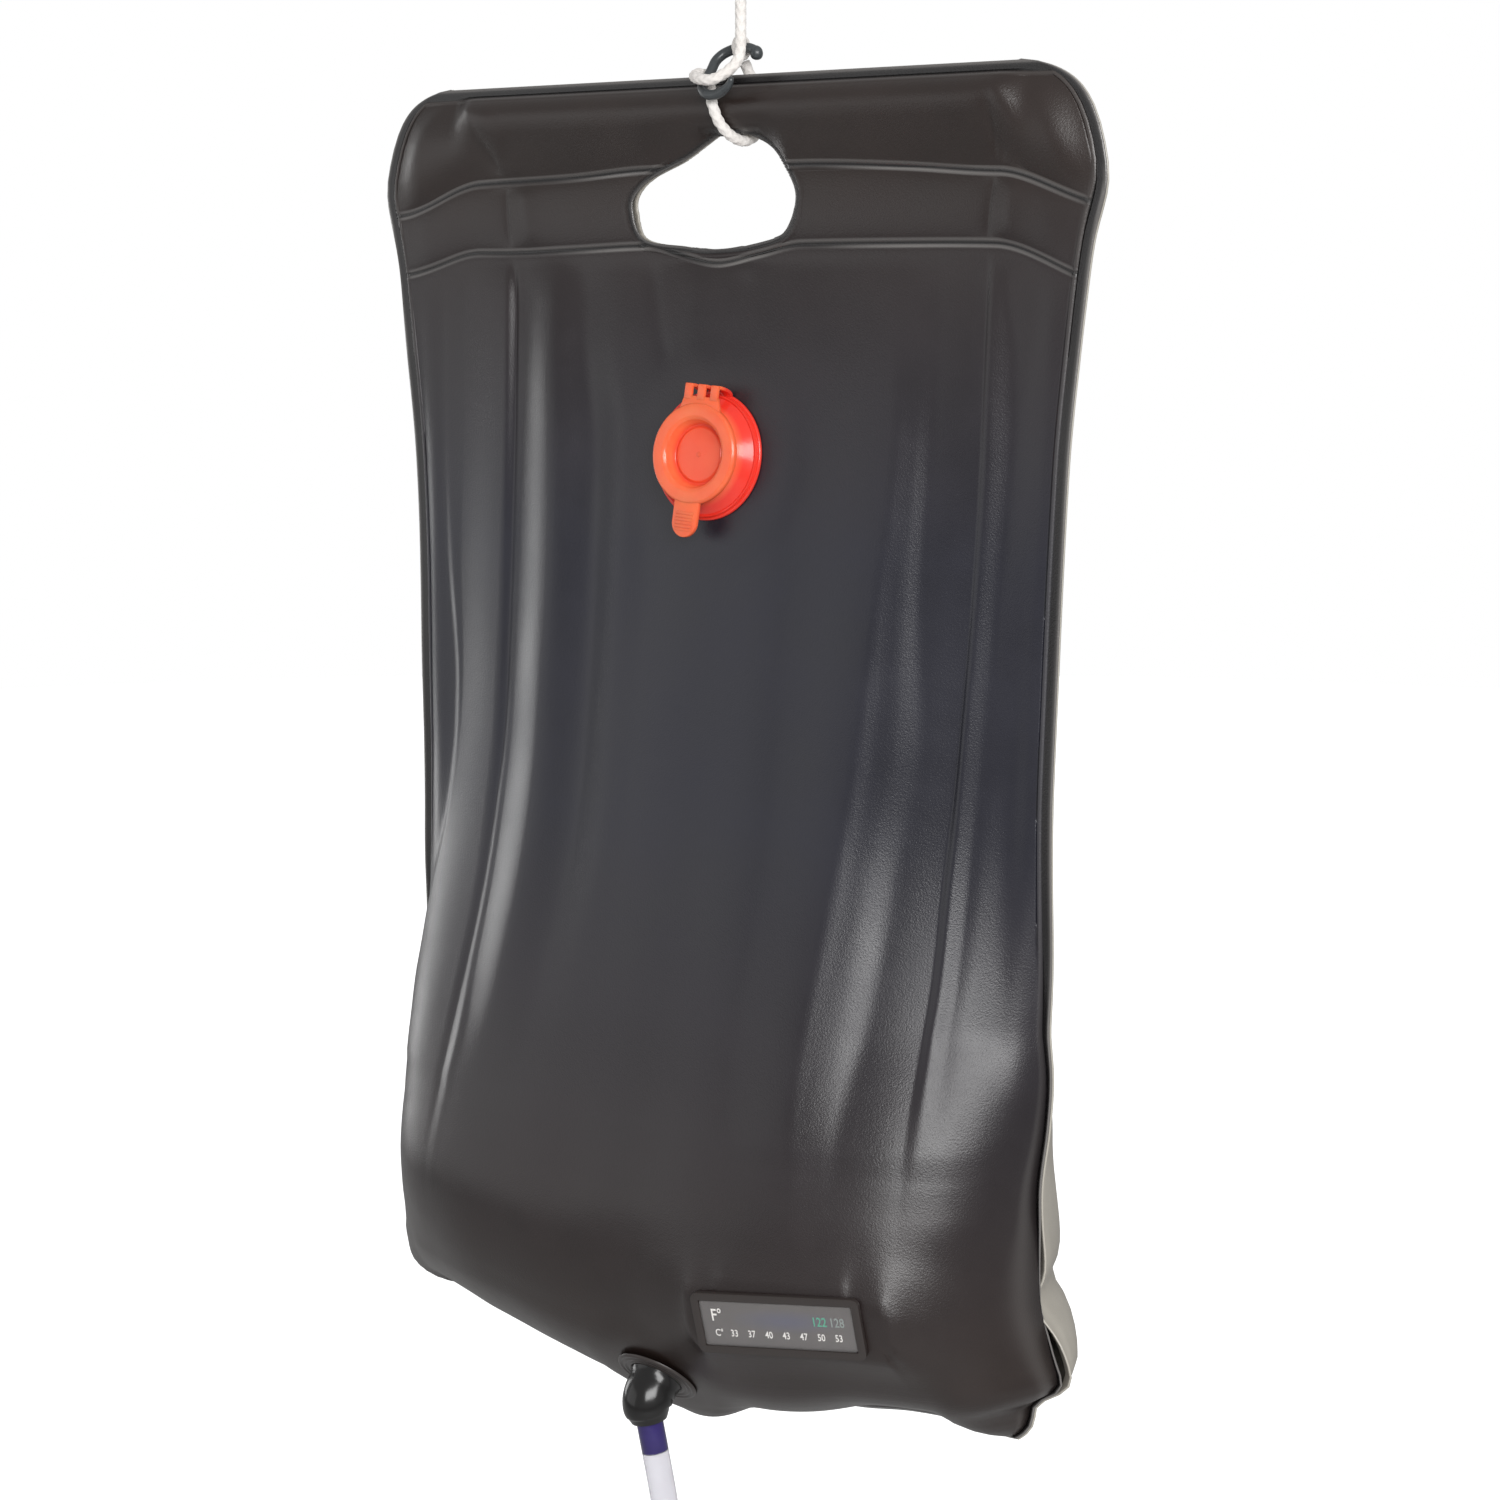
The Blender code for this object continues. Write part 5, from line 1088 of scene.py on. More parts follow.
def strap(line, x):
    """A flat strap along a line of (y, z) pairs, across the hinge at x."""
    line = np.array(line)
    tangent = np.gradient(line, axis=0)
    normal = np.stack([-tangent[:, 1], tangent[:, 0]], 1)
    normal = normal / np.linalg.norm(normal, axis=1)[:, None] * STRAP_THICK / 2
    outline = np.vstack([line + normal, (line - normal)[::-1]])
    bm = extruded(outline, -STRAP_WIDTH / 2, STRAP_WIDTH / 2, 0.00035)
    return moved(bm, Matrix.Translation((x, 0, 0)) @ TURN_TO_X)


strap_xs = [STRAP_PITCH * (i - (STRAP_COUNT - 1) / 2) for i in range(STRAP_COUNT)]
filler_seat = seat(FILLER_X, FILLER_DEPTH) @ Matrix.Rotation(FILLER_ROLL, 4, "Z")
profile = [
    (NECK_BORE_RADIUS, SEAT),
    (NECK_FLANGE_RADIUS, SEAT),
    (NECK_FLANGE_RADIUS, SEAT + NECK_FLANGE * 0.55),
    (NECK_FLANGE_RADIUS - NECK_FLANGE * 0.35, SEAT + NECK_FLANGE),
    (NECK_STEP_RADIUS + 0.0002, SEAT + NECK_FLANGE * 0.85),
    (NECK_STEP_RADIUS, NECK_STEP_TOP),
    (NECK_FOOT_RADIUS + 0.0003, NECK_STEP_TOP),
    (NECK_FOOT_RADIUS, NECK_STEP_TOP - 0.0004),
    (NECK_TOP_RADIUS + 0.0008, NECK_TOP - 0.0012),
    (NECK_TOP_RADIUS, NECK_TOP),
    (NECK_BORE_RADIUS + STRAP_THICK / 2, NECK_TOP),
    (NECK_BORE_RADIUS, NECK_TOP - STRAP_THICK / 2),
]
parts = [turned(profile)]
foot_y = NECK_FLANGE_RADIUS - STRAP_THICK
run = HINGE_Y - foot_y
bend = arc((foot_y, HINGE_Z), 1, -90, 0, 12)
bend = [(foot_y + (y - foot_y) * run, HINGE_Z + (z - HINGE_Z) * (HINGE_Z - NECK_FLANGE)) for y, z in bend]
bend[-1] = (HINGE_Y, HINGE_Z - STRAP_THICK / 2 - SEAT)
parts += [strap(bend, x) for x in strap_xs]
neck_mesh = joined("filler_neck_moulding", parts, filler_seat)

floor = CAP_TOP - CAP_DISH_DEPTH
plug_foot = SEAT + NECK_FLANGE
profile = [
    (0, floor - PLUG_WALL),
    (PLUG_FOOT_RADIUS - PLUG_WALL, floor - PLUG_WALL),
    (PLUG_FOOT_RADIUS - PLUG_WALL, plug_foot),
    (PLUG_FOOT_RADIUS, plug_foot),
    (PLUG_RADIUS, CAP_FOOT - CAP_RIM / 2),
    (PLUG_RADIUS, CAP_FOOT),
    (CAP_RADIUS, CAP_FOOT),
    (CAP_RADIUS, CAP_TOP - CAP_RIM / 3),
    (CAP_RADIUS - CAP_RIM / 3, CAP_TOP),
    (CAP_DISH_RADIUS + 0.0005, CAP_TOP),
    (CAP_DISH_RADIUS - CAP_RIM / 3, CAP_TOP - CAP_RIM / 3),
    (CAP_DISC_RADIUS + CAP_RIM / 4, floor),
    (CAP_DISC_RADIUS, floor),
    (CAP_DISC_RADIUS - CAP_DISC_RISE, floor + CAP_DISC_RISE),
    (0, floor + CAP_DISC_RISE),
]
parts = [turned(profile, round_off=0.0004)]
tab_low = CAP_FOOT + (CAP_RIM - TAB_THICK) / 2
tab_top = tab_low + TAB_THICK
half = TAB_WIDTH / 2
tip = (0, -CAP_RADIUS - TAB_LENGTH + half)
outline = [(half, -CAP_RADIUS + CAP_RIM), (-half, -CAP_RADIUS + CAP_RIM), *arc(tip, half, 180, 360, 24)]
parts.append(extruded(outline, tab_low, tab_top, 0.0005))
for i in range(TAB_RIBS):
    y = tip[1] + half / 2 - (i - 0.5) * TAB_WIDTH * 0.11
    short = half * 0.72
    box = [(-short, y - TAB_RIB), (short, y - TAB_RIB), (short, y + TAB_RIB), (-short, y + TAB_RIB)]
    parts.append(extruded(box, tab_top - TAB_RIB, tab_top + TAB_RIB / 2, 0.0002))
lug_half = STRAP_PITCH + STRAP_WIDTH / 2
lug_top = CAP_RADIUS + STRAP_THICK * 2
lug = [(-lug_half * 1.25, CAP_RADIUS - CAP_RIM * 1.6), (lug_half * 1.25, CAP_RADIUS - CAP_RIM * 1.6)]
lug += [(lug_half, lug_top), (-lug_half, lug_top)]
parts.append(extruded(lug, CAP_FOOT, CAP_TOP - CAP_RIM / 3, 0.0004))
start = lug_top - STRAP_THICK
outline = [(start, HINGE_Z + STRAP_THICK / 2), (start, HINGE_Z - STRAP_THICK / 2)]
outline += arc((HINGE_Y, HINGE_Z), STRAP_THICK / 2, -90, 90, 10)
for x in strap_xs:
    bm = extruded(outline, -STRAP_WIDTH / 2, STRAP_WIDTH / 2, 0.00025)
    parts.append(moved(bm, Matrix.Translation((x, 0, 0)) @ TURN_TO_X))
# The mark where the mould was fed stands in the dish.
gate_top = floor + CAP_DISC_RISE
gate = [(0, floor), (GATE_RADIUS, floor), (GATE_RADIUS, gate_top + 0.0002), (0, gate_top + 0.0003)]
parts.append(turned(gate, 32, 0.0001))
cap_mesh = joined("filler_cap_moulding", parts, filler_seat)

# Soft PVC, coloured through and moulded in a polished tool: a clear soft gloss. The deeper red low down,
# near the film, is painted shade and the red of light that sinks in and comes back, so it goes by the
# height over the flange.
orange_pvc, tree, shader = new_material("orange_soft_pvc_moulding")
cloud = noise(tree, object_place(tree), 0.012, 3)
rise = node(tree, "SeparateXYZ", {0: local_place(tree, filler_seat.translation, filler_seat)}).outputs["Z"]
# Painted shade: the deeper red comes in below this height over the flange.
deep = spread(tree, rise, 0, 1, 0.0062, 0.0096)
base = blend(tree, deep, "#E8382A", blend(tree, cloud, "#EC5A38", "#F47B4C"))
peel = bumped(tree, noise(tree, object_place(tree), 0.0014), 0.25, 0.00008)
feed(tree, shader, {"Base Color": base, "Roughness": spread(tree, cloud, 0.17, 0.25), "Normal": peel})
feed(tree, shader, {"Subsurface Weight": 0.25, "Subsurface Scale": 1})
feed(tree, shader, {"Subsurface Radius": (0.0024, 0.0006, 0.0003)})
show("filler_neck_moulding", neck_mesh, "bag", orange_pvc, ("filler_neck",))
show("filler_cap_moulding", cap_mesh, "cap", orange_pvc, ("filler_cap",))

# The thermometer: a liquid-crystal strip on a dark printed card, under a clear film in a satin black frame
# that is welded on the front. The cells light up teal at the water's temperature.

GAUGE_RIM = 0.0035
GAUGE_THICK = 0.0022
STRIP_THICK = 0.0003
WINDOW_THICK = 0.0004
CARD_WIDTH = GAUGE_WIDTH - 2 * GAUGE_RIM - 2 * SEAT
CARD_HEIGHT = GAUGE_HEIGHT - 2 * GAUGE_RIM - 2 * SEAT
CARD_CORNER = 0.0009
INK_THICK = 0.00004
# How much narrower than the font the words are, and how much bolder, in shares of their size.
WORD_WIDTH_SHARE = 0.78
WORD_BOLD_SHARE = 0.010
COVER_GLOSS = {"Coat Weight": 0.7, "Coat Roughness": 0.08}


def rounded(width, height, radius):
    """A rectangle with round corners."""
    x, y = width / 2 - radius, height / 2 - radius
    points = []
    for (sx, sy), start in (((1, 1), 0), ((-1, 1), 90), ((-1, -1), 180), ((1, -1), 270)):
        points += arc((sx * x, sy * y), radius, start, start + 90, CORNER_STEPS)
    return points


gauge_seat = seat(GAUGE_X, GAUGE_DEPTH)
gauge_top = SEAT + GAUGE_THICK
gauge_floor = gauge_top - STRIP_THICK - WINDOW_THICK - 3 * SEAT
bm = extruded(rounded(GAUGE_WIDTH, GAUGE_HEIGHT, GAUGE_RIM), SEAT, gauge_top, 0)
bm.faces.ensure_lookup_table()
face = max(bm.faces, key=lambda f: f.calc_center_median().z)
bmesh.ops.inset_region(bm, faces=[face], thickness=GAUGE_RIM, use_even_offset=True)
grown = bmesh.ops.extrude_face_region(bm, geom=[face])
bmesh.ops.delete(bm, geom=[face], context="FACES_ONLY")
lowered = [v for v in grown["geom"] if isinstance(v, bmesh.types.BMVert)]
bmesh.ops.translate(bm, verts=lowered, vec=(0, 0, gauge_floor - gauge_top))
frame_mesh = joined("gauge_frame_moulding", [rounded_off(bm, 0.0004, math.radians(60))], gauge_seat)
frame_gloss, tree, shader = new_material("black_pvc_frame_gloss")
smear = noise(tree, object_place(tree), 0.009, 4)
feed(tree, shader, {"Base Color": srgb("#322C2A"), "Roughness": spread(tree, smear, 0.3, 0.4)})
feed(tree, shader, {"IOR": FILM_IOR})
show("gauge_frame_moulding", frame_mesh, "bag", frame_gloss, ("thermometer_frame",))

card_low = gauge_floor + SEAT
card_top = card_low + STRIP_THICK
card = extruded(rounded(CARD_WIDTH, CARD_HEIGHT, CARD_CORNER), card_low, card_top, 0.0001)
card_mesh = joined("gauge_card", [card], gauge_seat)
# Printed card behind the crystal film: dark brown grey, with a faint violet bloom where the cells are.
gauge_print, tree, shader = new_material("printed_liquid_crystal_card")
on_card = local_place(tree, gauge_seat @ Vector((0.004, 0.002, 0)), gauge_seat)
stretched = node(tree, "Mapping", {"Vector": on_card, "Scale": (1 / 0.027, 1 / 0.006, 1 / 0.01)})
bloom = node(tree, "TexGradient", {"Vector": stretched.outputs[0]}, gradient_type="SPHERICAL")
cloud = noise(tree, object_place(tree), 0.004, 3)
base = blend(tree, bloom.outputs["Fac"], blend(tree, cloud, "#352E2D", "#463D3B"), "#2C2C4C")
feed(tree, shader, {"Base Color": base, "Roughness": 0.4, **COVER_GLOSS})
show("gauge_card", card_mesh, "bag", gauge_print, ("thermometer_strip",))


def ink(name, colour):
    """Printed ink: a flat colour that the card's fine unevenness breaks up a little."""
    material, tree, shader = new_material(name)
    shade = spread(tree, noise(tree, object_place(tree), 0.0009), 0.82, 1.05)
    thin = node(tree, "VectorMath", {0: srgb(colour)[:3], "Scale": shade}, operation="SCALE").outputs[0]
    feed(tree, shader, {"Base Color": thin, "Roughness": 0.35, **COVER_GLOSS})
    return material


def word_shape(word, size):
    """A word as a flat mesh in ink."""
    curve = bpy.data.curves.new("word", "FONT")
    curve.body = word
    curve.size = size
    curve.align_x = "CENTER"
    curve.extrude = INK_THICK / 2
    curve.offset = size * WORD_BOLD_SHARE
    curve.resolution_u = 3
    text = bpy.data.objects.new("word", curve)
    scene.collection.objects.link(text)
    bpy.context.view_layer.update()
    flat = bpy.data.meshes.new_from_object(text.evaluated_get(bpy.context.evaluated_depsgraph_get()))
    bm = bmesh.new()
    bm.from_mesh(flat)
    bmesh.ops.remove_doubles(bm, verts=bm.verts, dist=SAME_PLACE)
    bpy.data.objects.remove(text)
    bpy.data.curves.remove(curve)
    bpy.data.meshes.remove(flat)
    return bm


# Words on the card: text and place across it, place up it in metres, size, colour.
CELSIUS = [(str(number), -0.0212 + 0.0081 * i) for i, number in enumerate((33, 37, 40, 43, 47, 50, 53))]
GAUGE_WORDS = {
    "gauge_celsius_numbers": ([("C\u00b0", -0.0283), *CELSIUS], -0.0062, 0.0046, "#F4F0EC"),
    "gauge_fahrenheit_sign": ([("F\u00b0", -0.0283)], 0.0010, 0.0080, "#F4F0EC"),
    "gauge_lit_cell": ([("122", 0.0194)], 0.0006, 0.0060, "#1FA582"),
    "gauge_faint_cell": ([("128", 0.0275)], 0.0006, 0.0060, "#7E8A86"),
}
narrow = Matrix.Diagonal((WORD_WIDTH_SHARE, 1, 1, 1))
for name, (words, up, size, colour) in GAUGE_WORDS.items():
    parts = []
    for word, across in words:
        place_on = Matrix.Translation((across, up, card_top + SEAT / 6 + INK_THICK / 2))
        parts.append(moved(word_shape(word, size), place_on @ narrow))
    show(name, joined(name, parts, gauge_seat), "bag", ink("printed_ink_" + name, colour))

# Clear film over the card: hardly seen but for its shine.
clear_film, tree, shader = new_material("clear_pvc_cover_film")
haze = noise(tree, object_place(tree), 0.005)
haze = spread(tree, haze, 0.04, 0.1)
feed(tree, shader, {"Base Color": srgb("#FFFFFF"), "Roughness": haze, "Alpha": 0.05})
paint("thermometer_window", clear_film)

# The outlet: a ribbed satin flange welded on the front, a hollow elbow in glossy black PVC, and the violet
# coupler that the hose is pushed on.

OUTLET_PLATE = 0.0010
OUTLET_RIBS = 3
OUTLET_RIB = 0.0004
OUTLET_DISC_RADIUS = 0.0192
ELBOW_FOOT_RADIUS = 0.0118
ELBOW_RISE = 0.0118
ELBOW_DROP = 0.0100
ELBOW_RADII = [(0, 0.0122), (0.08, 0.0117), (0.3, 0.0113), (0.55, 0.0112), (0.72, 0.0106), (0.9, 0.0090)]
ELBOW_RADII += [(1, 0.0081)]
ELBOW_BORE_SHARE = 0.72
ELBOW_STEP = 0.0006
ELBOW_SIDES = 56
CURVE_STEPS = 24
RIM_NEAR = 0.002
COUPLER_LENGTH = 0.0190
COUPLER_SEATED = 0.0050
HOSE_DIAMETER = 0.0120
COUPLER_RADIUS = HOSE_DIAMETER / 2
HOSE_START_DIRECTION = (0.135, -0.763, 0.646)


def smooth_line(points, spacing):
    """Points at an even spacing on a smooth curve through the route's own points."""
    points = np.array(points, float)
    lengths = np.linalg.norm(np.diff(points, axis=0), axis=1)
    knots = np.concatenate([[0], np.cumsum(np.sqrt(lengths))])
    padded = np.vstack([2 * points[0] - points[1], points, 2 * points[-1] - points[-2]])
    marks = np.concatenate([[2 * knots[0] - knots[1]], knots, [2 * knots[-1] - knots[-2]]])
    fine = []
    for i in range(len(points) - 1):
        t = np.linspace(knots[i], knots[i + 1], CURVE_STEPS, endpoint=False)[:, None]
        p, k = padded[i : i + 4], marks[i : i + 4]
        a = [(p[j] * (k[j + 1] - t) + p[j + 1] * (t - k[j])) / (k[j + 1] - k[j]) for j in range(3)]
        b = [(a[j] * (k[j + 2] - t) + a[j + 1] * (t - k[j])) / (k[j + 2] - k[j]) for j in range(2)]
        fine.append((b[0] * (k[2] - t) + b[1] * (t - k[1])) / (k[2] - k[1]))
    fine = np.vstack([*fine, points[-1:]])
    run = run_along(fine)
    count = max(2, round(run[-1] / spacing) + 1)
    even = np.linspace(0, run[-1], count)
    return np.stack([np.interp(even, run, fine[:, axis]) for axis in range(3)], 1)


def swept(points, radius, around=24, shape=None, side=None, capped=True):
    """A grid wrapped round a line. radius is one number or one for each point, shape(turn, run) adds to it,
    and the UV map holds the distances round it and along it in metres."""
    points = np.array(points, float)
    run = run_along(points)
    radii = np.broadcast_to(radius, len(points))
    tangent = np.gradient(points, axis=0)
    tangent /= np.linalg.norm(tangent, axis=1)[:, None]
    first = np.array(side if side is not None else np.cross(tangent[0], (0.31, 0.55, 0.77)), float)
    sides = []
    for t in tangent:
        first = first - t * (first @ t)
        first = first / np.linalg.norm(first)
        sides.append(first)
    sides = np.array(sides)
    others = np.cross(tangent, sides)
    bm = bmesh.new()
    bmesh.ops.create_grid(bm, x_segments=around, y_segments=len(points) - 1, size=0.5)
    uv = bm.loops.layers.uv.new("UVMap")
    flat = flat_places(bm.verts) + 0.5
    row = np.rint(flat[:, 1] * (len(points) - 1)).astype(int)
    turn = flat[:, 0] * math.tau
    girth = math.tau * float(np.max(radii))
    bm.verts.index_update()
    for face in bm.faces:
        for loop in face.loops:
            i = loop.vert.index
            loop[uv].uv = (flat[i, 0] * girth, run[row[i]])
    full = radii[row] + (0 if shape is None else shape(turn, run[row]))
    round_line = np.cos(turn)[:, None] * sides[row] + np.sin(turn)[:, None] * others[row]
    places = points[row] + full[:, None] * round_line
    for vert, point in zip(bm.verts, places, strict=True):
        vert.co = point
    bmesh.ops.remove_doubles(bm, verts=bm.verts, dist=SAME_PLACE)
    if capped:
        bmesh.ops.holes_fill(bm, edges=[e for e in bm.edges if e.is_boundary], sides=0)
    bmesh.ops.recalc_face_normals(bm, faces=bm.faces)
    return bm


def along(direction, at):
    """A frame at a point with local z along a direction."""
    matrix = Vector(direction).to_track_quat("Z", "Y").to_matrix().to_4x4()
    matrix.translation = at
    return matrix


def ends_closed(mesh, ends, reach):
    """Joins a tube's outer and inner skins. Each of its ends is a middle and the way the tube runs."""
    bm = bmesh.new()
    bm.from_mesh(mesh)
    loops = [(e, (e.verts[0].co + e.verts[1].co) / 2) for e in bm.edges if e.is_boundary]
    for end, direction in ends:
        near = [(e, at - end) for e, at in loops if (at - end).length < reach]
        near = [e for e, way in near if abs(way @ direction) < RIM_NEAR]
        bmesh.ops.bridge_loops(bm, edges=near)
    bmesh.ops.recalc_face_normals(bm, faces=bm.faces)
    bm.to_mesh(mesh)
    bm.free()
    mesh.set_sharp_from_angle(angle=math.radians(50))


outlet_seat = seat(OUTLET_X, OUTLET_DEPTH)
outlet_foot = outlet_seat.translation
outlet_out = outlet_seat.to_3x3() @ Vector((0, 0, 1))
corner = outlet_foot + outlet_out * (OUTLET_PLATE + ELBOW_RISE)
hose_down = outlet_seat.to_3x3() @ Vector(HOSE_START_DIRECTION).normalized()
plate_top = SEAT + OUTLET_PLATE
pitch = (OUTLET_DISC_RADIUS - ELBOW_FOOT_RADIUS) / OUTLET_RIBS
profile = [(OUTLET_BORE_RADIUS, SEAT), (OUTLET_DISC_RADIUS, SEAT)]
profile += [(OUTLET_DISC_RADIUS, SEAT + OUTLET_PLATE / 2)]
for i in range(OUTLET_RIBS):
    outer = OUTLET_DISC_RADIUS - i * pitch
    profile += [(outer - pitch * 0.15, plate_top), (outer - pitch * 0.35, plate_top + OUTLET_RIB)]
    profile += [(outer - pitch * 0.65, plate_top + OUTLET_RIB), (outer - pitch * 0.85, plate_top)]
profile += [(OUTLET_BORE_RADIUS, plate_top)]
flange_mesh = joined("outlet_flange_disc", [turned(profile, round_off=0.00025)], outlet_seat)

# The elbow comes out of the flange, turns down and narrows to its mouth.
elbow_start = outlet_foot + outlet_out * (plate_top + SEAT)
mouth = corner + hose_down * (ELBOW_DROP - OUTLET_PLATE)
route = [elbow_start, elbow_start.lerp(corner, 0.35), elbow_start.lerp(corner, 0.7)]
route += [corner.lerp(mouth, 0.3), corner.lerp(mouth, 0.65), mouth]
line = smooth_line([tuple(p) for p in route], ELBOW_STEP)
share = run_along(line) / run_along(line)[-1]
elbow = swept(line, flow(ELBOW_RADII, share), ELBOW_SIDES, capped=False)
bore = np.where(share > ELBOW_BORE_SHARE, COUPLER_RADIUS + SEAT, OUTLET_BORE_RADIUS)
inner = swept(line, bore, ELBOW_SIDES, capped=False)
bmesh.ops.reverse_faces(inner, faces=inner.faces)
elbow_mesh = joined("outlet_elbow_moulding", [elbow, inner])
ends_closed(elbow_mesh, ((elbow_start, outlet_out), (mouth, hose_down)), 0.014)
black_gloss, tree, shader = new_material("black_gloss_pvc_moulding")
flow_marks = noise(tree, object_place(tree), 0.007, 3)
feed(tree, shader, {"Base Color": srgb("#131212"), "Roughness": spread(tree, flow_marks, 0.13, 0.26)})
feed(tree, shader, {"Normal": bumped(tree, flow_marks, 0.2, 0.0002)})
show("outlet_flange_disc", flange_mesh, "bag", frame_gloss, ("outlet_flange",))
show("outlet_elbow_moulding", elbow_mesh, "bag", black_gloss, ("outlet_elbow",))

coupler_top = corner - hose_down * OUTLET_PLATE + hose_down * (ELBOW_DROP - COUPLER_SEATED + SEAT)
bore = OUTLET_BORE_RADIUS * 0.8
profile = [(bore, 0), (COUPLER_RADIUS - SEAT, 0), (COUPLER_RADIUS, COUPLER_SEATED)]
profile += [(COUPLER_RADIUS, COUPLER_LENGTH), (bore, COUPLER_LENGTH)]
coupler_mesh = joined("hose_coupler_tube", [turned(profile, FITTING_STEPS)], along(hose_down, coupler_top))
violet, tree, shader = new_material("violet_abs_moulding")
tint = noise(tree, object_place(tree), 0.01)
base = blend(tree, tint, "#271D57", "#382C70")
feed(tree, shader, {"Base Color": base, "Roughness": spread(tree, tint, 0.12, 0.22)})
show("hose_coupler_tube", coupler_mesh, "bag", violet, ("hose_coupler",))

# The hose: 0.33 m of clear soft PVC tube, 12 mm outside and 8 mm inside, from the coupler to the head. Its
# steps are metres across, back and down from its top.

HOSE_BORE_RADIUS = 0.0040
HOSE_STEP = 0.002
HOSE_SIDES = 40
HOSE_STEPS = [
    (0, 0, 0),
    (0.0029, 0.0013, 0.018),
    (0.0060, 0.0035, 0.045),
    (0.0084, 0.0063, 0.085),
    (0.0096, 0.0085, 0.130),
    (0.0099, 0.0097, 0.180),
    (0.0097, 0.0102, 0.230),
    (0.0095, 0.0103, 0.275),
    (0.0094, 0.0103, 0.3292),
]
hose_top = coupler_top + hose_down * (COUPLER_LENGTH + SEAT)
hose_route = [(hose_top.x + x, hose_top.y + y, hose_top.z - down) for x, y, down in HOSE_STEPS]
hose_line = smooth_line(hose_route, HOSE_STEP)
outer = swept(hose_line, HOSE_DIAMETER / 2, HOSE_SIDES, capped=False)
bore_wall = swept(hose_line, HOSE_BORE_RADIUS, HOSE_SIDES, capped=False)
hose_mesh = joined("clear_hose_tube", [outer, bore_wall])
hose_ends = [Vector(point) for point in (hose_line[0], hose_line[-1])]
hose_ways = [Vector(hose_line[i + 1] - hose_line[i]).normalized() for i in (0, len(hose_line) - 2)]
ends_closed(hose_mesh, zip(hose_ends, hose_ways, strict=True), 0.01)
# Extruded soft PVC: clear with a slight milky bloom, and very faint draw lines along it.
clear_hose, tree, shader = new_material("clear_extruded_soft_pvc")
on_tube = node(tree, "TexCoord").outputs["UV"]
drawn = node(tree, "Mapping", {"Vector": on_tube, "Scale": (1 / 0.0006, 1 / 0.02, 1)}).outputs[0]
haze = spread(tree, noise(tree, drawn, 1), 0.1, 0.24)
feed(tree, shader, {"Base Color": srgb("#F1F0F4"), "Roughness": haze})
feed(tree, shader, {"Transmission Weight": 0.82, "IOR": 1.5})
hose = show("clear_hose_tube", hose_mesh, "bag", clear_hose, ("hose",))

# The shower head: a black bell on a violet stem. Pulled down, it opens the valve: the violet spray plate's
# post leaves the stem's bore. Rubber O-rings seal the stem in the neck and the post in the stem.

STEM_RADIUS = 0.0052
STEM_BORE_RADIUS = 0.0030
STEM_LENGTH = 0.0420
STEM_COLLAR_RADIUS = 0.0085
STEM_COLLAR = 0.0030
STEM_STOP_RADIUS = 0.0080
STEM_STOP = 0.0020
RING_WIRE_RADIUS = 0.0009
POST_RADIUS = 0.0022
POST_ENTRY = 0.0055
POST_RING_WIRE_RADIUS = 0.0005
HEAD_BORE_RADIUS = 0.0072
HEAD_NECK_RADIUS = 0.0112
HEAD_NECK = 0.0240
HEAD_CHAMBER_RADIUS = 0.0094
HEAD_RADIUS = 0.0270
HEAD_HEIGHT = 0.0560
HEAD_WALL = 0.0018
HEAD_LIP = 0.0060
PLATE_THICK = 0.0022
PLATE_HOLE_RADIUS = 0.0011
PLATE_HOLE_RINGS = ((6, 0.33), (12, 0.66))
VALVE_TRAVEL = 0.0080
head_top = Vector(hose_line[-1]) - Vector((0, 0, SEAT))
head_seat = Matrix.Translation(head_top) @ Matrix.Rotation(math.pi, 4, "X")
neck_from = STEM_COLLAR + SEAT
groove = STEM_RADIUS - RING_WIRE_RADIUS * 0.6
ring_at = neck_from + HEAD_NECK / 2
wide = RING_WIRE_RADIUS + SEAT
stop_low = STEM_LENGTH - STEM_STOP
profile = [(STEM_BORE_RADIUS, 0), (HOSE_DIAMETER / 2, 0), (STEM_COLLAR_RADIUS, STEM_COLLAR / 3)]
profile += [(STEM_COLLAR_RADIUS, STEM_COLLAR), (STEM_RADIUS, STEM_COLLAR)]
profile += [(STEM_RADIUS, ring_at - wide), (groove, ring_at - wide)]
profile += [(groove, ring_at + wide), (STEM_RADIUS, ring_at + wide)]
profile += [(STEM_RADIUS, stop_low), (STEM_STOP_RADIUS, stop_low), (STEM_STOP_RADIUS, STEM_LENGTH)]
profile += [(STEM_BORE_RADIUS, STEM_LENGTH)]
stem_mesh = joined("valve_stem_turning", [turned(profile, FITTING_STEPS, 0.0002)], head_seat)
stem = show("valve_stem_turning", stem_mesh, "bag", violet, ("valve_stem",))
rubber, tree, shader = new_material("black_nitrile_rubber")
dust = noise(tree, object_place(tree), 0.0008)
feed(tree, shader, {"Base Color": srgb("#1A1A1A"), "Roughness": spread(tree, dust, 0.45, 0.65)})


def o_ring(name, radius, height, wire, body, old):
    """A round rubber ring about the head's axis."""
    bm = turned(arc((radius, height), wire, 0, 360, 16)[:-1], FITTING_STEPS, 0)
    return show(name, joined(name, [bm], head_seat), body, rubber, (old,))


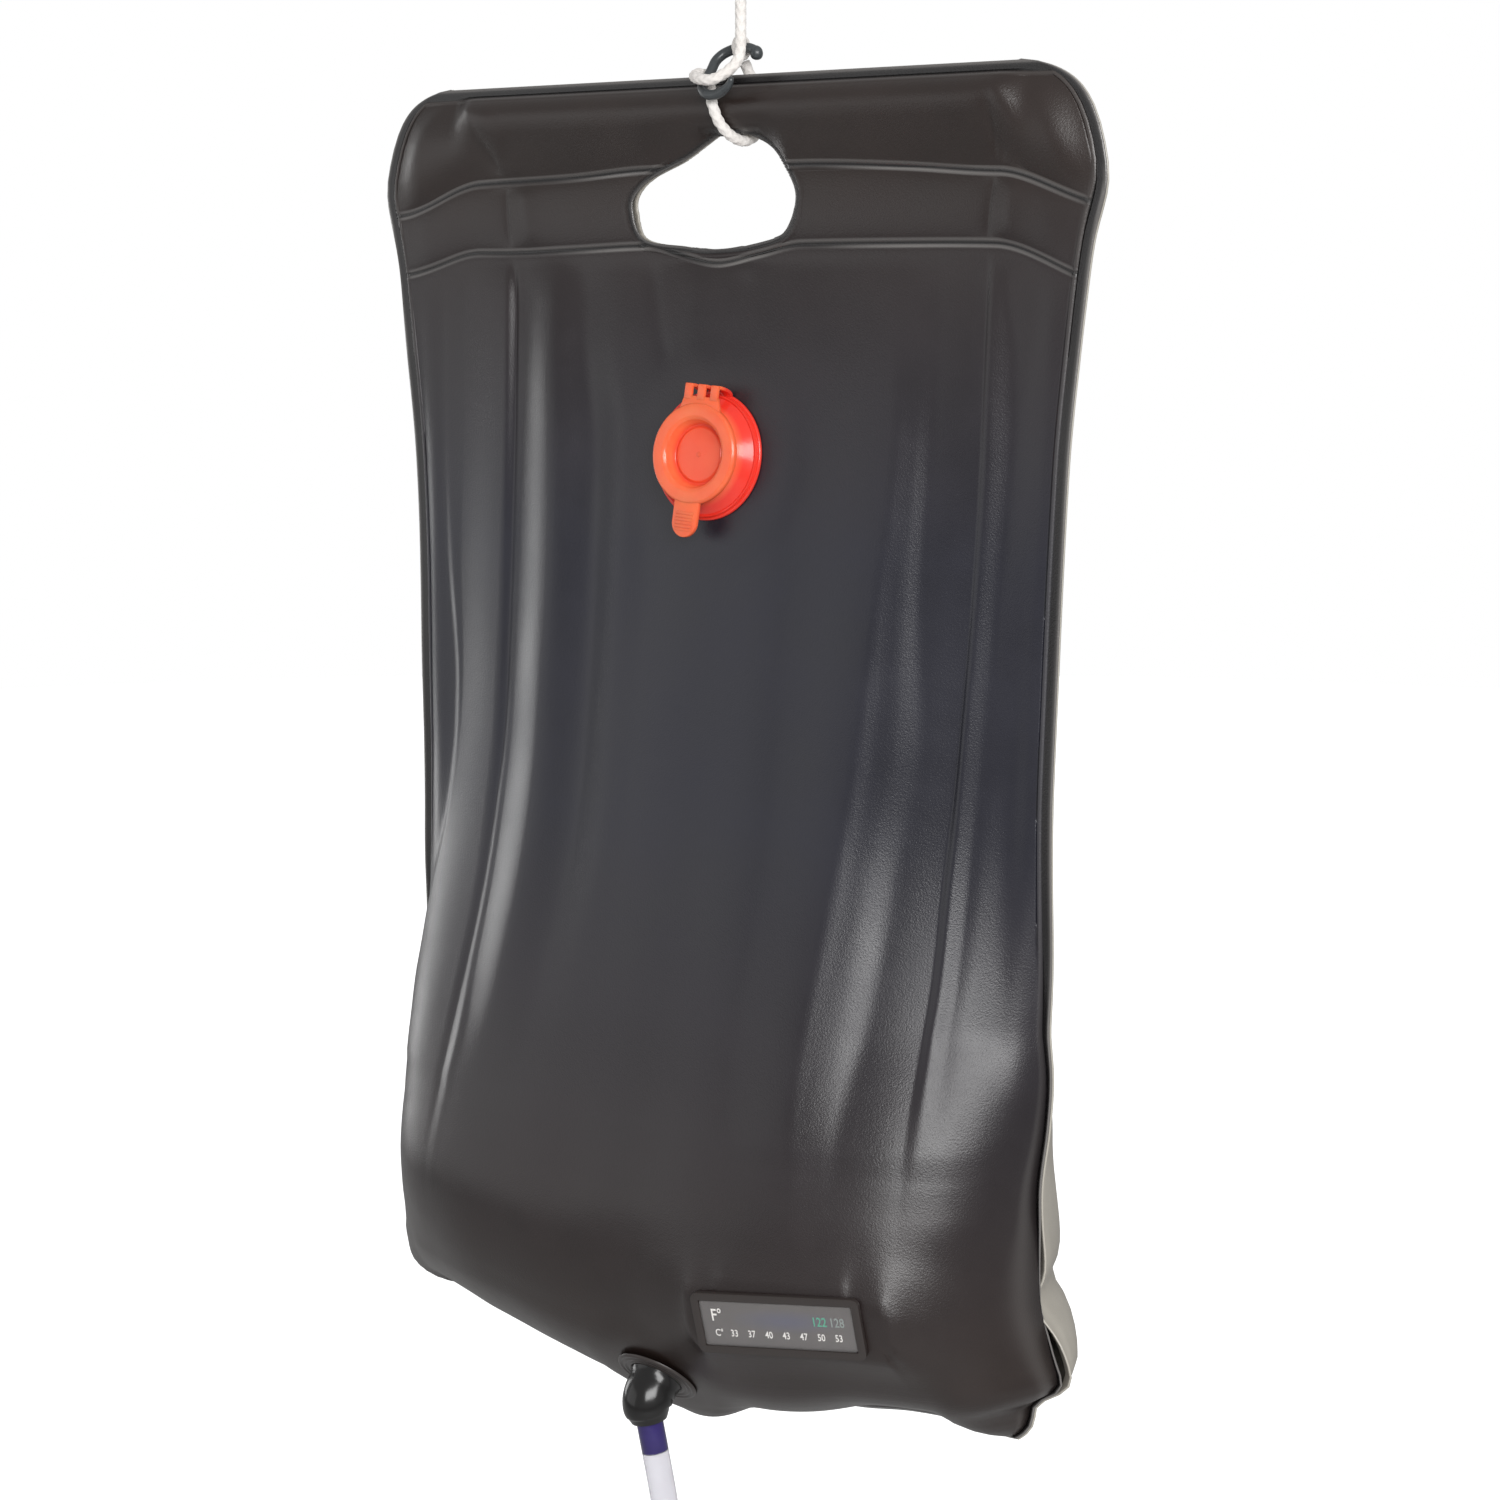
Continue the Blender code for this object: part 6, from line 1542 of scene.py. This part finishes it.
ring_radius = groove + SEAT + RING_WIRE_RADIUS
stem_ring = o_ring("stem_seal_ring", ring_radius, ring_at, RING_WIRE_RADIUS, "bag", "stem_o_ring")
neck_low = neck_from + HEAD_NECK
low = neck_from + HEAD_HEIGHT
plate_high = low - HEAD_LIP * 0.45
head_inner = HEAD_RADIUS - HEAD_WALL
seat_height = STEM_LENGTH - STEM_STOP - VALVE_TRAVEL - SEAT
profile = [(HEAD_BORE_RADIUS, neck_from), (HEAD_NECK_RADIUS * 0.93, neck_from)]
profile += [(HEAD_NECK_RADIUS, neck_from + HEAD_WALL)]
for i in range(3):
    z = neck_from + HEAD_NECK * (0.35 + 0.2 * i)
    profile += [(HEAD_NECK_RADIUS, z - HEAD_WALL / 2), (HEAD_NECK_RADIUS - HEAD_WALL / 3, z)]
    profile += [(HEAD_NECK_RADIUS, z + HEAD_WALL / 2)]
profile += [(HEAD_NECK_RADIUS, neck_low), (HEAD_NECK_RADIUS * 1.06, neck_low + HEAD_LIP * 0.6)]
profile += [(HEAD_NECK_RADIUS * 1.15, neck_low + HEAD_LIP), (HEAD_RADIUS * 0.50, neck_low + HEAD_LIP * 1.4)]
profile += [(HEAD_RADIUS * 0.62, neck_low + HEAD_LIP * 2), (HEAD_RADIUS * 0.80, low - HEAD_LIP * 2.5)]
profile += [(HEAD_RADIUS * 0.92, low - HEAD_LIP * 1.8), (HEAD_RADIUS, low - HEAD_LIP)]
profile += [(HEAD_RADIUS, low - HEAD_WALL / 2), (HEAD_RADIUS - HEAD_WALL / 2, low)]
profile += [(head_inner + SEAT, low), (head_inner + SEAT, plate_high - PLATE_THICK)]
profile += [(head_inner - HEAD_WALL, plate_high - PLATE_THICK - SEAT)]
profile += [(HEAD_RADIUS * 0.84, low - HEAD_LIP * 1.9), (HEAD_RADIUS * 0.52, neck_low + HEAD_LIP * 2.5)]
profile += [(HEAD_CHAMBER_RADIUS, neck_low + HEAD_LIP * 1.5), (HEAD_CHAMBER_RADIUS, seat_height)]
profile += [(HEAD_BORE_RADIUS, seat_height)]
head_mesh = joined("shower_head_bell", [turned(profile, HEAD_STEPS, 0.0003)], head_seat)
head = show("shower_head_bell", head_mesh, "head", black_gloss, ("shower_head",))
plate_floor = plate_high - PLATE_THICK + SEAT
tip_height = STEM_LENGTH - POST_ENTRY
ring_radius = STEM_BORE_RADIUS - SEAT - POST_RING_WIRE_RADIUS
post_groove = ring_radius - POST_RING_WIRE_RADIUS - SEAT
post_ring_at = tip_height + POST_RADIUS
wide = POST_RING_WIRE_RADIUS + SEAT
profile = [(0, tip_height), (POST_RADIUS * 0.6, tip_height), (POST_RADIUS, tip_height + POST_RADIUS * 0.4)]
profile += [(POST_RADIUS, post_ring_at - wide), (post_groove, post_ring_at - wide)]
profile += [(post_groove, post_ring_at + wide), (POST_RADIUS, post_ring_at + wide)]
profile += [(POST_RADIUS, plate_floor - POST_RADIUS), (POST_RADIUS * 2, plate_floor)]
profile += [(head_inner, plate_floor), (head_inner, plate_high)]
profile += [(head_inner * 0.5, plate_high + PLATE_THICK * 0.35), (0, plate_high + PLATE_THICK / 2)]
plate_mesh = joined("spray_plate_disc", [turned(profile, HEAD_STEPS, 0.00015)], head_seat)
holes = bmesh.new()
drill_size = {"radius1": PLATE_HOLE_RADIUS, "radius2": PLATE_HOLE_RADIUS, "depth": PLATE_THICK * 4}
for count, share in PLATE_HOLE_RINGS:
    for i in range(count):
        turn = math.tau * i / count
        made = bmesh.ops.create_cone(holes, cap_ends=True, segments=16, **drill_size)
        spot = (head_inner * share * math.cos(turn), head_inner * share * math.sin(turn), plate_high)
        bmesh.ops.translate(holes, verts=made["verts"], vec=spot)
cutter = bpy.data.objects.new("spray_hole_drill", joined("spray_hole_drill", [holes], head_seat))
blank = bpy.data.objects.new("spray_plate_blank", plate_mesh)
for obj in (cutter, blank):
    scene.collection.objects.link(obj)
drill = blank.modifiers.new("drill", "BOOLEAN")
drill.operation = "DIFFERENCE"
drill.solver = "EXACT"
drill.object = cutter
bpy.context.view_layer.update()
drilled = bpy.data.meshes.new_from_object(blank.evaluated_get(bpy.context.evaluated_depsgraph_get()))
drilled.name = "spray_plate_disc_drilled"
for obj in (cutter, blank):
    bpy.data.objects.remove(obj)
plate = show("spray_plate_disc", drilled, "head", violet, ("spray_plate",))
post_ring = o_ring(
    "post_seal_ring", ring_radius, post_ring_at, POST_RING_WIRE_RADIUS, "head", "post_o_ring"
)

# The S-hook: 4.4 mm wire, bent and dipped in dark grey enamel. Its lower curl bears on the sleeve and its
# upper end is a ball.

HOOK_RADIUS = 0.0022
HOOK_BALL_RADIUS = 0.0029
HOOK_TIP_SHARE = 0.62
HOOK_STEP = 0.0003
HOOK_SIDES = 32
HOOK_ROUTE = [
    (0.0199, -0.0204, 0.0019),
    (0.0196, -0.0203, 0.0039),
    (0.0180, -0.0200, 0.0059),
    (0.0145, -0.0195, 0.0080),
    (0.0100, -0.0192, 0.0093),
    (0.0054, -0.0188, 0.0087),
    (0.0014, -0.0162, 0.0060),
    (0.0008, -0.0138, 0.0030),
    (0.0016, -0.0118, 0.0004),
    (0.0019, -0.0098, -0.0025),
    (0.0023, -0.0074, -0.0060),
    (0.0043, -0.0050, -0.0088),
    (0.0080, -0.0034, -0.0106),
    (0.0121, -0.0024, -0.0113),
    (0.0169, -0.0024, -0.0109),
    (0.0201, -0.0024, -0.0091),
    (0.0195, -0.0024, -0.0059),
]


def on_bag(points):
    """Points of (x, y, depth) from the middle of the bag's top edge, in the frame."""
    return [(x - CORD_X, y - CORD_Y, -HANG_DROP - depth) for x, y, depth in points]


hook_line = smooth_line(on_bag(HOOK_ROUTE), HOOK_STEP)
run = run_along(hook_line)
left = run[-1] - run
radii = HOOK_RADIUS * (HOOK_TIP_SHARE + (1 - HOOK_TIP_SHARE) * ease(0, HOOK_RADIUS * 5, run))
radii = np.where(run < HOOK_RADIUS, radii * np.sqrt(np.clip(1 - (1 - run / HOOK_RADIUS) ** 2, 0, 1)), radii)
ball = np.sqrt(np.clip(HOOK_BALL_RADIUS**2 - (left - HOOK_BALL_RADIUS) ** 2, 0, None))
radii = np.maximum(np.where(left < HOOK_BALL_RADIUS, 0, radii), ball)
hook_mesh = joined("s_hook_wire", [swept(hook_line, radii, HOOK_SIDES)])
enamel, tree, shader = new_material("dark_grey_enamelled_wire")
wear_and_highlight = noise(tree, object_place(tree), 0.004, 4, 0.7)
coat = blend(tree, wear_and_highlight, "#2F3234", "#474B4D")
peel = bumped(tree, noise(tree, object_place(tree), 0.0011), 0.3, 0.0001)
feed(tree, shader, {"Base Color": coat, "Roughness": spread(tree, wear_and_highlight, 0.2, 0.38), "Normal": peel})
show("s_hook_wire", hook_mesh, "bag", enamel, ("s_hook",))

# The hang cord: 4.8 mm white polyester, braided of two sets of strands. It runs from its knot round the
# hook's shank, down the sleeve's front, through the handle hole and up behind to its eye on the hook.

CORD_DIAMETER = 0.0048
CORD_STEP = 0.00045
CORD_SIDES = 32
KNOT_RADIUS = 0.0066
KNOT_TURNS = 2.4
KNOT_SIDES = 28
EYE_AT = 13
EYE_THICK_SHARE = 0.25
STRANDS = 4
STRAND_RISE = 0.00022
STRAND_WIND = 0.9
CORD_ROUTE = [
    (0.0196, -0.0130, -0.0360),
    (0.0196, -0.0130, -0.0260),
    (0.0196, -0.0130, -0.0161),
    (0.0194, -0.0132, -0.0086),
    (0.0186, -0.0142, -0.0048),
    (0.0165, -0.0164, -0.0014),
    (0.0140, -0.0196, 0.0014),
    (0.0104, -0.0212, 0.0030),
    (0.0056, -0.0212, 0.0028),
    (0.0006, -0.0194, 0.0018),
    (-0.0029, -0.0160, 0.0006),
    (-0.0040, -0.0112, -0.0006),
    (-0.0030, -0.0072, 0.0000),
    (-0.0008, -0.0079, 0.0030),
    (0.0027, -0.0120, 0.0079),
    (0.0045, -0.0136, 0.0114),
    (0.0059, -0.0137, 0.0152),
    (0.0071, -0.0125, 0.0194),
    (0.0086, -0.0102, 0.0231),
    (0.0100, -0.0060, 0.0263),
    (0.0112, 0.0, 0.0279),
    (0.0118, 0.0062, 0.0263),
    (0.0122, 0.0104, 0.0231),
    (0.0124, 0.0127, 0.0190),
    (0.0124, 0.0138, 0.0140),
    (0.0121, 0.0128, 0.0085),
    (0.0114, 0.0096, 0.0038),
    (0.0106, 0.0062, -0.0004),
    (0.0101, 0.0030, -0.0056),
]
LOOP_BASE = -0.0475
LOOP_HALF_WIDTH = 0.0092
LOOP_SHARES = [(0.3, 0.02), (0.34, 0.08), (0.56, 0.24), (0.9, 0.5), (1, 0.68), (0.8, 0.89), (0.36, 0.985)]
LOOP_SHARES += [(0, 1)]


def braid(turn, run):
    """Height of the braid's strands: two sets wound opposite ways, over and under each other."""
    wind = run / (CORD_DIAMETER / 2) * STRAND_WIND
    over = 0.5 * np.cos(STRANDS * turn)
    right = np.cos(STRANDS * (turn + wind)) + over
    wrong = np.cos(STRANDS * (turn - wind)) - over
    return STRAND_RISE * (np.maximum(right, wrong) - 0.6)


CORD_BODY = CORD_DIAMETER / 2 - STRAND_RISE * 0.4
cord_line = smooth_line(on_bag(CORD_ROUTE), CORD_STEP)[::-1]
cord_mesh = joined("braided_hang_cord", [swept(cord_line, CORD_BODY, CORD_SIDES, braid)], sharp=math.pi)
rise = HANG_DROP + CORD_DIAMETER / 2 + LOOP_BASE
loop_side = [(CORD_X + LOOP_HALF_WIDTH * x, CORD_Y, LOOP_BASE - rise * up) for x, up in LOOP_SHARES]
loop_side += [(2 * CORD_X - x, y, depth) for x, y, depth in loop_side[-2::-1]]
loop_line = smooth_line(on_bag(loop_side), CORD_STEP)
loop_mesh = joined("braided_hang_loop", [swept(loop_line, CORD_BODY, CORD_SIDES, braid)], sharp=math.pi)

# The knot: almost two and a half turns of the same cord, drawn tight round itself.
knot_middle = on_bag([(CORD_X, CORD_Y, (CORD_ROUTE[0][2] + LOOP_BASE) / 2)])[0]
knot_half = (CORD_ROUTE[0][2] - LOOP_BASE) / 2 - SEAT - CORD_BODY
turns = np.linspace(0, 1, 140)
wind = turns * math.tau * KNOT_TURNS
wrap = KNOT_RADIUS - CORD_BODY - STRAND_RISE
narrowed = np.sin(np.pi * np.clip(turns, 0.12, 0.88)) ** 0.3
knot_line = np.stack([
    knot_middle[0] + wrap * np.cos(wind) * narrowed,
    knot_middle[1] + wrap * np.sin(wind),
    knot_middle[2] + knot_half * (2 * turns - 1),
], 1)
x, y, z = knot_middle
knot_core = np.linspace((x, y, z - knot_half), (x, y, z + knot_half), 12)
parts = [swept(knot_line, CORD_BODY * 0.98, KNOT_SIDES, braid)]
parts += [swept(knot_core, CORD_BODY, KNOT_SIDES, braid)]
knot_mesh = joined("cord_stopper_knot", parts, sharp=math.pi)

# The eye: the cord's end turned flat round the hook's upper curl and sewn back on itself.
hook_points = [Vector(p) for p in on_bag(HOOK_ROUTE)]
eye_axis = (hook_points[EYE_AT + 1] - hook_points[EYE_AT - 1]).normalized()
eye_inner = HOOK_RADIUS + 3 * SEAT
eye_thick = CORD_DIAMETER * EYE_THICK_SHARE
eye_matrix = along(eye_axis, hook_points[EYE_AT])
turns = np.linspace(0, math.tau, 97)
eye_radius = eye_inner + eye_thick
eye_line = [eye_matrix @ Vector((eye_radius * math.cos(t), eye_radius * math.sin(t), 0)) for t in turns]


def flat_braid(turn, run):
    """The braid pressed flat: wide along the hook and thin out from it."""
    long, short = CORD_DIAMETER / 2 - STRAND_RISE, eye_thick
    oval = long * short / np.sqrt((short * np.cos(turn)) ** 2 + (long * np.sin(turn)) ** 2)
    return oval + braid(turn, run) * 0.5


eye_points = [tuple(p) for p in eye_line]
eye_band = swept(eye_points, 0, KNOT_SIDES, flat_braid, side=tuple(eye_axis), capped=False)
eye_mesh = joined("sewn_cord_eye", [eye_band], sharp=math.pi)
bm = bmesh.new()
bm.from_mesh(eye_mesh)
bmesh.ops.remove_doubles(bm, verts=bm.verts, dist=0.0001)
bm.to_mesh(eye_mesh)
bm.free()

# Braided polyester: soft white with the strands' shade between them and fine twisted fibres along each.
white_cord, tree, shader = new_material("white_braided_polyester")
lay = {"Rotation": (0, 0, math.radians(42)), "Scale": (1 / 0.0003, 1 / 0.004, 1)}
leaning = node(tree, "Mapping", {"Vector": node(tree, "TexCoord").outputs["UV"], **lay}).outputs[0]
fibre = noise(tree, leaning, 1, 3, 0.7)
worn = spread(tree, noise(tree, object_place(tree), 0.009, 3), 0, 0.35, 0.45, 0.8)
tone = blend(tree, worn, blend(tree, fibre, "#D8D2CC", "#F4F1EE"), "#CFC6BE")
feed(tree, shader, {"Base Color": tone, "Normal": bumped(tree, fibre, 0.6, 0.00015)})
feed(tree, shader, {"Roughness": 0.82, "Sheen Weight": 0.15})
hang_cord = show("braided_hang_cord", cord_mesh, "bag", white_cord, ("hang_cord",))
hang_loop = show("braided_hang_loop", loop_mesh, "bag", white_cord, ("hang_loop",))
knot = show("cord_stopper_knot", knot_mesh, "bag", white_cord, ("cord_knot",))
eye = show("sewn_cord_eye", eye_mesh, "bag", white_cord, ("cord_eye",))
